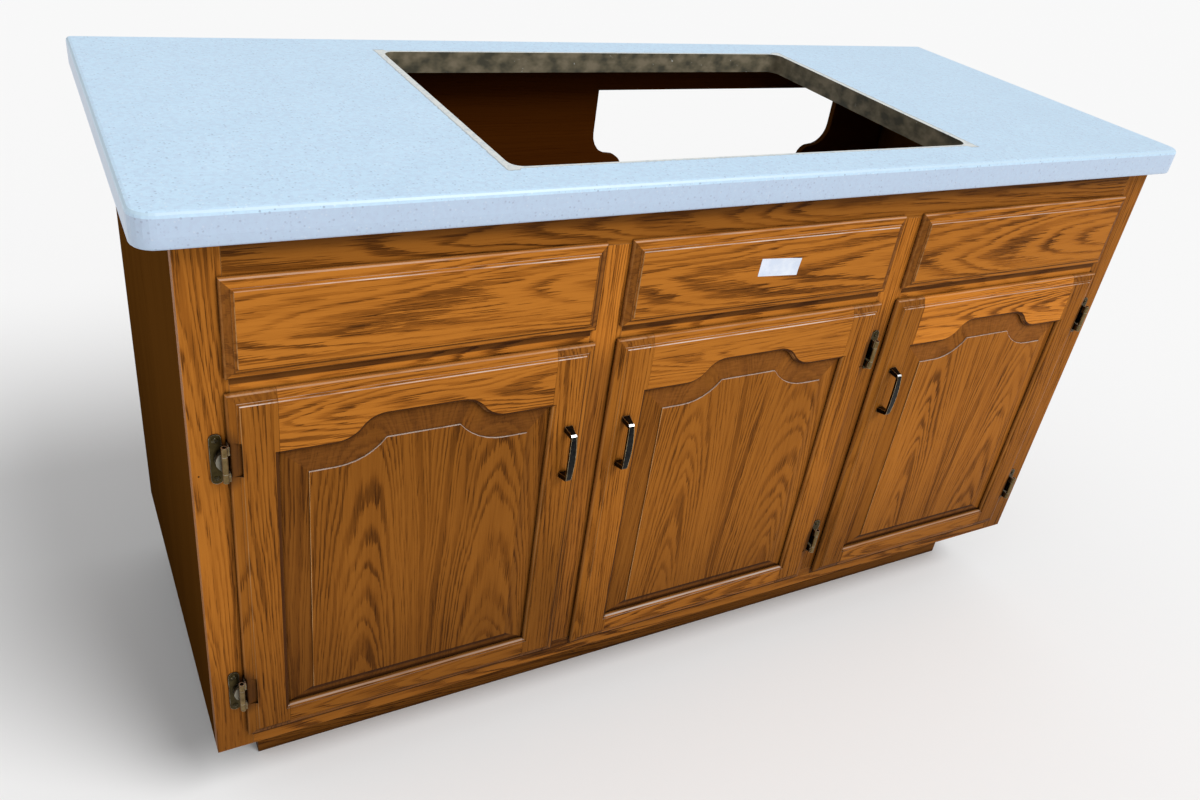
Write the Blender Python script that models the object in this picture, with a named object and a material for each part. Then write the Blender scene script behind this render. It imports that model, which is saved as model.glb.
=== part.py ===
"""Sink base cabinet: an oak face-frame carcass with three raised-panel doors and a solid worktop.

Metres, +Z up. The front faces -Y, and the origin lies on the floor under the middle of the whole part.
Each door hangs from a parent empty that stands on its hinge axis.
"""

import math

import bmesh
import bpy
from mathutils import Matrix, Vector

# Carcass
CABINET_WIDTH = 1.524
CABINET_DEPTH = 0.610
FRAME_HEIGHT = 0.762
PLINTH_HEIGHT = 0.114
SIDE_THICKNESS = 0.018
FLOOR_THICKNESS = 0.016
BACK_THICKNESS = 0.012
PLINTH_THICKNESS = 0.018
PLINTH_FRONT_SETBACK = 0.075
PLINTH_END_SETBACK = 0.065

# Service opening in the back panel
SERVICE_WIDTH = 0.558
SERVICE_HEIGHT = 0.174
SERVICE_HOLLOW = 0.0415
SERVICE_KNOB = 0.024
SERVICE_FOOT = 0.030
SERVICE_TOP_MARGIN = 0.047
SERVICE_CENTRE_X = 0.320

# Worktop and its sink opening
WORKTOP_THICKNESS = 0.032
WORKTOP_FRONT_OVERHANG = 0.020
WORKTOP_END_OVERHANG = 0.037
WORKTOP_CORNER = 0.025
WORKTOP_ARRIS = 0.006
SINK_WIDTH = 0.750
SINK_FRONT_MARGIN = 0.073
SINK_BACK_MARGIN = 0.067
SINK_CORNER = 0.018

# Face frame
FRAME_THICKNESS = 0.019
FRAME_STILE_WIDTH = 0.0465
MULLION_WIDTH = 0.0465
TOP_RAIL_WIDTH = 0.0535
MID_RAIL_WIDTH = 0.030
BOTTOM_RAIL_WIDTH = 0.0325
FRONT_OPENING_HEIGHT = 0.111

# Lipped doors and false drawer fronts
LIP_THICKNESS = 0.0111
RABBET_DEPTH = 0.0095
DOOR_OVERLAP = 0.0065
FRONT_OVERLAP = 0.005
FRONT_CLEARANCE = 0.002
EDGE_ROUND = 0.0042
EDGE_BAND = 0.0105
EDGE_SLOPE = 0.0016
EDGE_STEP = 0.0012
EDGE_LEDGE = 0.0026
EDGE_CREST = 0.0012
EDGE_ARRIS = 0.0006

# Door frame and its cathedral panel
DOOR_STILE_WIDTH = 0.055
DOOR_BOTTOM_RAIL = 0.043
DOOR_SHOULDER_DROP = 0.086
ARCH_RISE = 0.0315
ARCH_RUN = 0.062
CROWN_HALF_WIDTH = 0.0475
STICKING_STEP = 0.0009
STICKING_WIDTH = 0.005
STICKING_DEPTH = 0.0045
GROOVE_DEPTH = 0.0085
GROOVE_WIDTH = 0.0066
GROOVE_FROM_FACE = 0.0075
PANEL_BEVEL = 0.033
PANEL_BOTTOM_BEVEL = 0.0225
PANEL_BEVEL_RISE = 0.0042
PANEL_STEP = 0.0018

# Cleats behind the false fronts
CLEAT_HEIGHT = 0.060
CLEAT_THICKNESS = 0.016
CLEAT_LAP = 0.016
SPACER_WIDTH = 0.300
SPACER_HEIGHT = 0.050

# Wrapped hinges
HINGE_INSET = 0.086
LEAF_THICKNESS = 0.0012
LEAF_FRONT_SPARE = 0.0008
LEAF_EDGE_SPARE = 0.0018
FRAME_LEAF_HEIGHT = 0.068
FRAME_LEAF_WIDTH = 0.0135
FRAME_LEAF_CORNER = 0.0064
DOOR_LEAF_REACH = 0.028
BARREL_LENGTH = 0.048
BARREL_RADIUS = 0.0036
BARREL_EDGE_SPARE = 0.002
BARREL_BACK_SPARE = 0.011
OUTER_KNUCKLE = 0.012
BOSS_RADIUS = 0.0146
BOSS_WIDTH = 0.0085
BOSS_RISE = 0.0072
WEB_WIDTH = 0.0024
PIN_RADIUS = 0.002
PIN_RECESS = 0.0015
NOTCH_HEIGHT = 0.0465
NOTCH_WIDTH = 0.014
NOTCH_DEPTH = 0.0045

# Bow handles
HANDLE_DROP = 0.1605
HANDLE_CENTRES = 0.075
HANDLE_LENGTH = 0.0775
HANDLE_PROJECTION = 0.0215
HANDLE_BAR_WIDTH = 0.0104
HANDLE_END_WIDTH = 0.008
HANDLE_BAR_THICKNESS = 0.004
HANDLE_BOW = 0.002
HANDLE_BEND = 0.006
HANDLE_FOOT_WIDTH = 0.012
HANDLE_FOOT_HEIGHT = 0.0085
HANDLE_NECK = 0.0075

# Fits and roundness
JOINT_GAP = 0.0003
RUNNING_GAP = 0.0006
CUT_SPARE = 0.010
ARC_STEPS = 6
ROUND_STEPS = 3
BARREL_SIDES = 20
SMOOTH_ANGLE = math.radians(35)
STRAIGHT = 0.999

# Places worked out from the sizes above
WORKTOP_BASE = PLINTH_HEIGHT + FRAME_HEIGHT
HALF_WIDTH = CABINET_WIDTH / 2
HINGE_LEAF_GAP = LEAF_THICKNESS + LEAF_FRONT_SPARE
DOOR_CLEARANCE = LEAF_THICKNESS + LEAF_EDGE_SPARE
PIN_OUTSET = BARREL_RADIUS + BARREL_EDGE_SPARE
PIN_PROUD = BARREL_RADIUS + BARREL_BACK_SPARE
DOOR_PROUD = HINGE_LEAF_GAP + LIP_THICKNESS
FRONT_REACH = max(DOOR_PROUD + JOINT_GAP + HANDLE_PROJECTION, WORKTOP_FRONT_OVERHANG)
FACE_Y = (FRONT_REACH - CABINET_DEPTH) / 2
OPENING_WIDTH = (CABINET_WIDTH - 2 * FRAME_STILE_WIDTH - 2 * MULLION_WIDTH) / 3
OPENING_PITCH = OPENING_WIDTH + MULLION_WIDTH
DOOR_OPENING_BASE = PLINTH_HEIGHT + BOTTOM_RAIL_WIDTH
FRONT_OPENING_TOP = WORKTOP_BASE - TOP_RAIL_WIDTH
FRONT_OPENING_BASE = FRONT_OPENING_TOP - FRONT_OPENING_HEIGHT
DOOR_OPENING_TOP = FRONT_OPENING_BASE - MID_RAIL_WIDTH
FLOOR_TOP = DOOR_OPENING_BASE
FLOOR_BASE = FLOOR_TOP - FLOOR_THICKNESS
DOOR_WIDTH = OPENING_WIDTH + 2 * DOOR_OVERLAP
DOOR_BASE = DOOR_OPENING_BASE - DOOR_OVERLAP
DOOR_HEIGHT = DOOR_OPENING_TOP - DOOR_OPENING_BASE + 2 * DOOR_OVERLAP
DOOR_FACE = -DOOR_PROUD
DOOR_BACK = RABBET_DEPTH - HINGE_LEAF_GAP
HINGE_HEIGHTS = {"upper": DOOR_HEIGHT - HINGE_INSET, "lower": HINGE_INSET}
BAYS = {"left": -OPENING_PITCH, "centre": 0.0, "right": OPENING_PITCH}
HINGE_SIDE = {"left": -1, "centre": 1, "right": 1}


# Scene helpers

def clear_scene():
    for item in list(bpy.data.objects):
        bpy.data.objects.remove(item)


def new_collection(name):
    collection = bpy.data.collections.new(name)
    bpy.context.scene.collection.children.link(collection)
    return collection


def new_material(name, colour, roughness, metallic=0.0):
    material = bpy.data.materials.new(name)
    material.use_nodes = True
    shader = material.node_tree.nodes["Principled BSDF"]
    shader.inputs["Base Color"].default_value = (*colour, 1.0)
    shader.inputs["Roughness"].default_value = roughness
    shader.inputs["Metallic"].default_value = metallic
    return material


clear_scene()
PARTS = new_collection("sink_base_cabinet")
CUTTERS = new_collection("cutters")
OAK = new_material("stained_oak", (0.30, 0.125, 0.030), 0.38)
VENEER = new_material("dark_veneer", (0.105, 0.040, 0.012), 0.45)
LINING = new_material("cabinet_lining", (0.070, 0.028, 0.010), 0.60)
STONE = new_material("speckled_worktop", (0.60, 0.72, 0.84), 0.25)
BRONZE = new_material("aged_brass", (0.16, 0.12, 0.065), 0.40, 1.0)
BLACK = new_material("black_metal", (0.022, 0.022, 0.024), 0.32, 1.0)


def place(name, mesh, material, location, parent=None):
    """Add a part at a world location, under its parent where it has one."""
    mesh.materials.clear()
    mesh.materials.append(material)
    part = bpy.data.objects.new(name, mesh)
    PARTS.objects.link(part)
    part.location = location
    if parent:
        part.parent = parent
        part.location = location - parent.location
    return part


def finished(bm, name="shape"):
    """Turn a bmesh into a mesh with its faces pointing out."""
    bmesh.ops.recalc_face_normals(bm, faces=bm.faces)
    mesh = bpy.data.meshes.new(name)
    bm.to_mesh(mesh)
    bm.free()
    return mesh


def combined(base, tool, operation):
    """The mesh that a Boolean of two meshes in one frame gives."""
    pair = [bpy.data.objects.new(role, mesh) for role, mesh in (("base", base), ("tool", tool))]
    for item in pair:
        CUTTERS.objects.link(item)
    modifier = pair[0].modifiers.new("boolean", "BOOLEAN")
    modifier.operation = operation
    modifier.solver = "EXACT"
    modifier.object = pair[1]
    graph = bpy.context.evaluated_depsgraph_get()
    mesh = bpy.data.meshes.new_from_object(pair[0].evaluated_get(graph))
    for item in pair:
        bpy.data.objects.remove(item)
    return mesh


def joined(meshes):
    """The union of several meshes."""
    mesh = meshes[0]
    for other in meshes[1:]:
        mesh = combined(mesh, other, "UNION")
    return mesh


def mirrored(mesh):
    """A copy of a mesh turned left for right."""
    bm = bmesh.new()
    bm.from_mesh(mesh)
    bmesh.ops.scale(bm, vec=(-1, 1, 1), verts=bm.verts)
    bmesh.ops.reverse_faces(bm, faces=bm.faces)
    return finished(bm)


# Basic shapes

def box_bmesh(x, y, z):
    """A box between pairs of x, y and z."""
    bm = bmesh.new()
    bmesh.ops.create_cube(bm, size=1.0)
    bmesh.ops.scale(bm, vec=(x[1] - x[0], y[1] - y[0], z[1] - z[0]), verts=bm.verts)
    bmesh.ops.translate(bm, vec=(sum(x) / 2, sum(y) / 2, sum(z) / 2), verts=bm.verts)
    return bm


def box_mesh(x, y, z):
    return finished(box_bmesh(x, y, z))


def centred(size):
    return (-size / 2, size / 2)


def board(name, x, y, z, material):
    """A plain board between pairs of x, y behind the frame's face, and z."""
    mesh = box_mesh(centred(x[1] - x[0]), centred(y[1] - y[0]), centred(z[1] - z[0]))
    return place(name, mesh, material, Vector((sum(x) / 2, FACE_Y + sum(y) / 2, sum(z) / 2)))


def edges_along(bm, axis, keep=lambda middle: True):
    """The edges that run along one axis, where their middle passes a test."""
    found = []
    for edge in bm.edges:
        run = (edge.verts[1].co - edge.verts[0].co).normalized()
        middle = (edge.verts[0].co + edge.verts[1].co) / 2
        if abs(run[axis]) > STRAIGHT and keep(middle):
            found.append(edge)
    return found


def rounded(bm, edges, radius, steps):
    bmesh.ops.bevel(bm, geom=edges, offset=radius, segments=steps, profile=0.5, affect="EDGES")


def outline_mesh(points, z):
    """A flat outline in x and y, thick between two heights."""
    curve = bpy.data.curves.new("outline", "CURVE")
    curve.dimensions = "2D"
    curve.fill_mode = "BOTH"
    curve.extrude = (z[1] - z[0]) / 2
    spline = curve.splines.new("POLY")
    spline.points.add(len(points) - 1)
    for corner, (x, y) in zip(spline.points, points):
        corner.co = (x, y, 0, 1)
    spline.use_cyclic_u = True
    item = bpy.data.objects.new("outline", curve)
    CUTTERS.objects.link(item)
    graph = bpy.context.evaluated_depsgraph_get()
    bm = bmesh.new()
    bm.from_mesh(bpy.data.meshes.new_from_object(item.evaluated_get(graph)))
    bpy.data.objects.remove(item)
    bmesh.ops.remove_doubles(bm, verts=bm.verts, dist=JOINT_GAP / 10)
    bmesh.ops.translate(bm, vec=(0, 0, sum(z) / 2), verts=bm.verts)
    return finished(bm)


def arc(centre, radius, start, end):
    """Points along an arc in x and z, both ends included."""
    turns = (start + (end - start) * index / ARC_STEPS for index in range(ARC_STEPS + 1))
    return [(centre[0] + radius * math.cos(turn), centre[1] + radius * math.sin(turn)) for turn in turns]


def loft(rings):
    """A closed body through rings that hold one number of points."""
    bm = bmesh.new()
    rings = [[bm.verts.new(point) for point in ring] for ring in rings]
    count = len(rings[0])
    for near, far in zip(rings, rings[1:]):
        for index in range(count):
            after = (index + 1) % count
            bm.faces.new((near[index], near[after], far[after], far[index]))
    bm.faces.new(rings[0])
    bm.faces.new(rings[-1])
    bmesh.ops.remove_doubles(bm, verts=bm.verts, dist=JOINT_GAP / 10)
    return finished(bm)


def cylinder_mesh(radius, z, sides=BARREL_SIDES):
    """An upright cylinder on the z axis between two heights."""
    bm = bmesh.new()
    bmesh.ops.create_cone(bm, cap_ends=True, segments=sides, radius1=radius, radius2=radius,
                          depth=z[1] - z[0])
    bmesh.ops.translate(bm, vec=(0, 0, sum(z) / 2), verts=bm.verts)
    return finished(bm)


# Carcass

def build_carcass():
    inner = HALF_WIDTH - SIDE_THICKNESS - JOINT_GAP
    behind_frame = FRAME_THICKNESS + JOINT_GAP
    back_face = CABINET_DEPTH - BACK_THICKNESS
    heights = (PLINTH_HEIGHT, WORKTOP_BASE)
    for name, side in (("left", -1), ("right", 1)):
        edges = sorted((side * HALF_WIDTH, side * (HALF_WIDTH - SIDE_THICKNESS)))
        board(name + "_side_panel", edges, (behind_frame, CABINET_DEPTH), heights, VENEER)
    floor_depth = (behind_frame, back_face - JOINT_GAP)
    board("floor_panel", (-inner, inner), floor_depth, (FLOOR_BASE, FLOOR_TOP), LINING)
    build_back(inner, back_face, heights)
    build_plinth(floor_depth[1])


def build_back(inner, back_face, heights):
    """The back panel with its service opening, whose sides sweep in over a knob to a narrower foot."""
    top = heights[1] - SERVICE_TOP_MARGIN
    base = top - SERVICE_HEIGHT
    knob_x = SERVICE_WIDTH / 2 - SERVICE_HOLLOW
    knob_z = base + SERVICE_FOOT
    right = [(knob_x - SERVICE_KNOB, base)]
    right += arc((knob_x, knob_z), SERVICE_KNOB, math.pi, math.pi / 2)
    right += arc((knob_x, knob_z + SERVICE_KNOB + SERVICE_HOLLOW), SERVICE_HOLLOW, -math.pi / 2, 0)[1:]
    right.append((SERVICE_WIDTH / 2, top))
    outline = right + [(-x, z) for x, z in reversed(right)]
    ends = (-CUT_SPARE, BACK_THICKNESS + CUT_SPARE)
    hole = loft([[(SERVICE_CENTRE_X + x, y, z) for x, z in outline] for y in ends])
    sheet = box_mesh((-inner, inner), (0, BACK_THICKNESS), heights)
    panel = combined(sheet, hole, "DIFFERENCE")
    place("back_panel", panel, LINING, Vector((0, FACE_Y + back_face, 0)))


def build_plinth(rear):
    """A recessed box of four boards that carries the floor panel."""
    heights = (0, FLOOR_BASE - JOINT_GAP)
    end = HALF_WIDTH - PLINTH_END_SETBACK
    front = PLINTH_FRONT_SETBACK
    board("plinth_front", (-end, end), (front, front + PLINTH_THICKNESS), heights, VENEER)
    board("plinth_back", (-end, end), (rear - PLINTH_THICKNESS, rear), heights, VENEER)
    between = (front + PLINTH_THICKNESS + JOINT_GAP, rear - PLINTH_THICKNESS - JOINT_GAP)
    for name, side in (("left", -1), ("right", 1)):
        edges = sorted((side * end, side * (end - PLINTH_THICKNESS)))
        board("plinth_" + name, edges, between, heights, VENEER)


def build_worktop():
    half = HALF_WIDTH + WORKTOP_END_OVERHANG
    depth = CABINET_DEPTH + WORKTOP_FRONT_OVERHANG
    heights = (JOINT_GAP, JOINT_GAP + WORKTOP_THICKNESS)
    slab = box_bmesh((-half, half), (0, depth), heights)
    rounded(slab, edges_along(slab, 2, lambda middle: middle.y < depth / 2), WORKTOP_CORNER, ARC_STEPS)
    flat = [edge for edge in slab.edges if abs(edge.verts[0].co.z - edge.verts[1].co.z) < JOINT_GAP]
    shown = [edge for edge in flat if min(vert.co.y for vert in edge.verts) < depth - JOINT_GAP]
    rounded(slab, shown, min(WORKTOP_ARRIS, WORKTOP_THICKNESS / 3), ROUND_STEPS)
    hole = box_bmesh(centred(SINK_WIDTH), (SINK_FRONT_MARGIN, depth - SINK_BACK_MARGIN),
                     (-CUT_SPARE, WORKTOP_THICKNESS + CUT_SPARE))
    rounded(hole, edges_along(hole, 2), SINK_CORNER, ARC_STEPS)
    top = combined(finished(slab), finished(hole), "DIFFERENCE")
    place("countertop", top, STONE, Vector((0, FACE_Y - WORKTOP_FRONT_OVERHANG, WORKTOP_BASE)))


def build_face_frame():
    """Stiles run full height, rails fit between them, and mullions fit between the rails."""
    depth = (0, FRAME_THICKNESS)
    inner = HALF_WIDTH - FRAME_STILE_WIDTH
    for name, side in (("left", -1), ("right", 1)):
        edges = sorted((side * HALF_WIDTH, side * inner))
        board(name + "_frame_stile", edges, depth, (PLINTH_HEIGHT, WORKTOP_BASE), OAK)
    span = (-inner + JOINT_GAP, inner - JOINT_GAP)
    board("frame_top_rail", span, depth, (FRONT_OPENING_TOP, WORKTOP_BASE), OAK)
    board("frame_bottom_rail", span, depth, (PLINTH_HEIGHT, DOOR_OPENING_BASE), OAK)
    between = (DOOR_OPENING_BASE + JOINT_GAP, FRONT_OPENING_TOP - JOINT_GAP)
    for name, side in (("left", -1), ("right", 1)):
        middle = side * OPENING_PITCH / 2
        edges = (middle - MULLION_WIDTH / 2, middle + MULLION_WIDTH / 2)
        board(name + "_mullion", edges, depth, between, OAK)
    half = OPENING_WIDTH / 2 - JOINT_GAP
    for name, x in BAYS.items():
        board(name + "_mid_rail", (x - half, x + half), depth, (DOOR_OPENING_TOP, FRONT_OPENING_BASE), OAK)


# Lipped slabs with a moulded edge

def edge_profile():
    """Steps of (inset, rise) from the outer edge of a lipped slab to its face."""
    steps = []
    for index in range(ROUND_STEPS):
        start, end = (math.pi / 2 * (index + add) / ROUND_STEPS for add in (0, 1))
        inset = EDGE_ROUND * (math.cos(start) - math.cos(end))
        steps.append((inset, EDGE_ROUND * (math.sin(end) - math.sin(start))))
    steps.append((EDGE_BAND - EDGE_ROUND, EDGE_SLOPE))
    steps.append((EDGE_ARRIS / 2, EDGE_STEP))
    steps.append((EDGE_LEDGE, EDGE_ARRIS / 2))
    steps.append((EDGE_ARRIS / 2, EDGE_CREST - EDGE_ARRIS))
    steps.append((EDGE_ARRIS, EDGE_ARRIS))
    return steps


def lipped_slab(width, height, rabbet_width):
    """A slab on z = 0 with the back of its lip at y = 0, rabbeted behind and moulded in front."""
    profile = edge_profile()
    edge = LIP_THICKNESS - sum(rise for inset, rise in profile)
    bm = box_bmesh(centred(width), (-edge, 0), (0, height))
    front = min(bm.faces, key=lambda face: face.calc_center_median().y)
    back = max(bm.faces, key=lambda face: face.calc_center_median().y)
    for inset, rise in profile:
        bmesh.ops.inset_individual(bm, faces=[front], thickness=inset, depth=rise, use_even_offset=True)
    bmesh.ops.inset_individual(bm, faces=[back], thickness=rabbet_width, use_even_offset=True)
    raised = bmesh.ops.extrude_face_region(bm, geom=[back])["geom"]
    corners = [item for item in raised if isinstance(item, bmesh.types.BMVert)]
    bmesh.ops.translate(bm, vec=(0, RABBET_DEPTH, 0), verts=corners)
    bmesh.ops.delete(bm, geom=[back], context="FACES")
    return finished(bm)


def build_drawer_fronts():
    """False fronts that sit in the upper openings, each held by a cleat behind the frame."""
    width = OPENING_WIDTH + 2 * FRONT_OVERLAP
    height = FRONT_OPENING_HEIGHT + 2 * FRONT_OVERLAP
    slab = lipped_slab(width, height, FRONT_OVERLAP + FRONT_CLEARANCE)
    middle_z = FRONT_OPENING_BASE + FRONT_OPENING_HEIGHT / 2
    reach = OPENING_WIDTH / 2 + CLEAT_LAP
    cleat_front = FRAME_THICKNESS + JOINT_GAP
    bar = box_mesh((-reach, reach), (cleat_front, cleat_front + CLEAT_THICKNESS), centred(CLEAT_HEIGHT))
    spacer = box_mesh(centred(SPACER_WIDTH), (RABBET_DEPTH, cleat_front + CLEAT_THICKNESS / 2),
                      centred(SPACER_HEIGHT))
    cleat = joined([bar, spacer])
    for name, x in BAYS.items():
        place(name + "_drawer_front", slab, OAK, Vector((x, FACE_Y - JOINT_GAP, middle_z - height / 2)))
        place(name + "_front_cleat", cleat, LINING, Vector((x, FACE_Y, middle_z)))


# Doors

def cathedral_outline(offset):
    """The door's opening, drawn in by an offset; x from the door's middle and z from its lower edge.

    From each square shoulder a hollow arc swings up into the arc that rounds the crown. The crown's radius
    equals the panel's bevel, so the raised field comes to a sharp corner there. The bevel is narrower along
    the bottom.
    """
    base = DOOR_BOTTOM_RAIL + (offset * PANEL_BOTTOM_BEVEL / PANEL_BEVEL if offset > 0 else offset)
    half = DOOR_WIDTH / 2 - DOOR_STILE_WIDTH
    shoulder = DOOR_HEIGHT - DOOR_SHOULDER_DROP
    hollow = (ARCH_RUN ** 2 + ARCH_RISE ** 2) / (2 * ARCH_RISE) - PANEL_BEVEL
    hollow_centre = (CROWN_HALF_WIDTH + ARCH_RUN, shoulder + hollow)
    crown_centre = (CROWN_HALF_WIDTH, shoulder + ARCH_RISE - PANEL_BEVEL)
    lean = math.atan2(hollow_centre[1] - crown_centre[1], hollow_centre[0] - crown_centre[0])
    right = [(half - offset, base), (half - offset, shoulder - offset)]
    right += arc(hollow_centre, hollow + offset, -math.pi / 2, lean - math.pi)
    right += arc(crown_centre, PANEL_BEVEL - offset, lean, math.pi / 2)[1:]
    left = [(-x, z) for x, z in reversed(right)]
    return right + left


def cathedral_loft(sections):
    """A closed body through (offset, y) sections of the door's opening, from front to back."""
    return loft([[(x, y, z) for x, z in cathedral_outline(offset)] for offset, y in sections])


def opening_cutter():
    """What is cut from a door blank: the opening, its stepped, rounded sticking and the panel's groove."""
    groove = DOOR_FACE + GROOVE_FROM_FACE
    step = DOOR_FACE + STICKING_STEP
    sections = [(-STICKING_WIDTH, DOOR_FACE - CUT_SPARE)]
    for index in range(ROUND_STEPS + 1):
        turn = math.pi / 2 * index / ROUND_STEPS
        out = STICKING_WIDTH * (1 - math.sin(turn))
        sections.append((-out, step + STICKING_DEPTH * (1 - math.cos(turn))))
    sections += [(0, groove), (-GROOVE_DEPTH, groove), (-GROOVE_DEPTH, groove + GROOVE_WIDTH)]
    sections += [(0, groove + GROOVE_WIDTH), (0, DOOR_BACK + CUT_SPARE)]
    return cathedral_loft(sections)


def panel_mesh():
    """The raised panel, whose tongue floats in the door frame's groove."""
    tongue_face = DOOR_FACE + GROOVE_FROM_FACE + JOINT_GAP
    tongue_back = tongue_face + GROOVE_WIDTH - 2 * JOINT_GAP
    tongue = -(GROOVE_DEPTH - RUNNING_GAP)
    bevel_top = tongue_face - PANEL_BEVEL_RISE
    sections = [(PANEL_BEVEL, bevel_top - PANEL_STEP), (PANEL_BEVEL, bevel_top)]
    sections += [(0, tongue_face), (tongue, tongue_face), (tongue, tongue_back)]
    return cathedral_loft(sections)


def door_frame_meshes():
    """The two stiles and two rails of a door, cut from one moulded blank."""
    slab = lipped_slab(DOOR_WIDTH, DOOR_HEIGHT, DOOR_OVERLAP + DOOR_CLEARANCE)
    slab.transform(Matrix.Translation((0, -HINGE_LEAF_GAP, 0)))
    blank = combined(slab, opening_cutter(), "DIFFERENCE")
    depth = (DOOR_FACE - CUT_SPARE, DOOR_BACK + CUT_SPARE)
    tall = (-CUT_SPARE, DOOR_HEIGHT + CUT_SPARE)
    outer = DOOR_WIDTH / 2 + CUT_SPARE
    joint = DOOR_WIDTH / 2 - DOOR_STILE_WIDTH
    rails = (-joint + JOINT_GAP, joint - JOINT_GAP)
    middle = DOOR_HEIGHT / 2
    regions = {
        "left_stile": ((-outer, -joint), depth, tall),
        "right_stile": ((joint, outer), depth, tall),
        "top_rail": (rails, depth, (middle, tall[1])),
        "bottom_rail": (rails, depth, (tall[0], middle)),
    }
    return {name: combined(blank, box_mesh(*region), "INTERSECT") for name, region in regions.items()}


def hinge_notches(side):
    """What is cut from the moulded edge of a hinge stile, beside its two barrels."""
    edge = side * DOOR_WIDTH / 2
    across = sorted((edge + side * CUT_SPARE, edge - side * NOTCH_WIDTH))
    depth = (DOOR_FACE - CUT_SPARE, DOOR_FACE + NOTCH_DEPTH)
    half = NOTCH_HEIGHT / 2
    return joined([box_mesh(across, depth, (z - half, z + half)) for z in HINGE_HEIGHTS.values()])


def build_doors():
    """Hang each door from an empty on its hinge axis, which is outside the hinge stile's edge."""
    frame = door_frame_meshes()
    panel = panel_mesh()
    handle = handle_mesh()
    leaves = {-1: (frame_leaf_mesh(), door_leaf_mesh())}
    leaves[1] = tuple(mirrored(mesh) for mesh in leaves[-1])
    pin = cylinder_mesh(PIN_RADIUS, centred(BARREL_LENGTH - 2 * PIN_RECESS))
    for name, x in BAYS.items():
        side = HINGE_SIDE[name]
        axis = bpy.data.objects.new(name + "_door_axis", None)
        PARTS.objects.link(axis)
        axis.location = (x + side * (DOOR_WIDTH / 2 + PIN_OUTSET), FACE_Y - PIN_PROUD, DOOR_BASE)
        corner = Vector((x, FACE_Y, DOOR_BASE))
        door = name + "_door_"
        stiles = ("left_stile", "right_stile") if side < 0 else ("right_stile", "left_stile")
        notched = combined(frame[stiles[0]], hinge_notches(side), "DIFFERENCE")
        place(door + "hinge_stile", notched, OAK, corner, axis)
        place(door + "pull_stile", frame[stiles[1]], OAK, corner, axis)
        place(door + "top_rail", frame["top_rail"], OAK, corner, axis)
        place(door + "bottom_rail", frame["bottom_rail"], OAK, corner, axis)
        place(door + "panel", panel, OAK, corner, axis)
        pull_x = x - side * (DOOR_WIDTH / 2 - DOOR_STILE_WIDTH / 2)
        pull_z = DOOR_BASE + DOOR_HEIGHT - HANDLE_DROP
        place(door + "handle", handle, BLACK, Vector((pull_x, FACE_Y + DOOR_FACE - JOINT_GAP, pull_z)), axis)
        for level, height in HINGE_HEIGHTS.items():
            point = axis.location + Vector((0, 0, height))
            hinge = door + level + "_hinge_"
            place(hinge + "frame_leaf", leaves[side][0], BRONZE, point)
            place(hinge + "door_leaf", leaves[side][1], BRONZE, point, axis)
            place(hinge + "pin", pin, BRONZE, point)


# Hinges, drawn about the pin's middle for a door that hangs on its left

def frame_leaf_mesh():
    """A round-ended plate on the frame's face, with a boss that is part of a disc, and the middle knuckle."""
    middle = BARREL_LENGTH / 2 - OUTER_KNUCKLE - JOINT_GAP
    inner = -RUNNING_GAP
    back = PIN_PROUD - JOINT_GAP
    front = back - LEAF_THICKNESS
    plate = box_bmesh((inner - FRAME_LEAF_WIDTH, inner), (front, back), centred(FRAME_LEAF_HEIGHT))
    rounded(plate, edges_along(plate, 1), min(FRAME_LEAF_CORNER, 0.48 * FRAME_LEAF_WIDTH), ARC_STEPS)
    disc = cylinder_mesh(BOSS_RADIUS, (JOINT_GAP, LEAF_THICKNESS + BOSS_RISE))
    move = Matrix.Translation((inner + BOSS_RADIUS - BOSS_WIDTH, back, 0))
    disc.transform(move @ Matrix.Rotation(math.pi / 2, 4, "X"))
    shown = box_mesh((inner - 2 * BOSS_RADIUS, inner - JOINT_GAP), (back - 2 * BOSS_RISE, back + CUT_SPARE),
                     centred(4 * BOSS_RADIUS))
    boss = combined(disc, shown, "INTERSECT")
    web_side = JOINT_GAP - BARREL_RADIUS
    web = box_mesh((web_side, web_side + WEB_WIDTH), (0, front - BOSS_RISE / 2),
                   centred(2 * middle - RUNNING_GAP))
    knuckle = cylinder_mesh(BARREL_RADIUS, (-middle, middle))
    return combined(joined([finished(plate), boss, web, knuckle]), pin_bore(), "DIFFERENCE")


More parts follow.
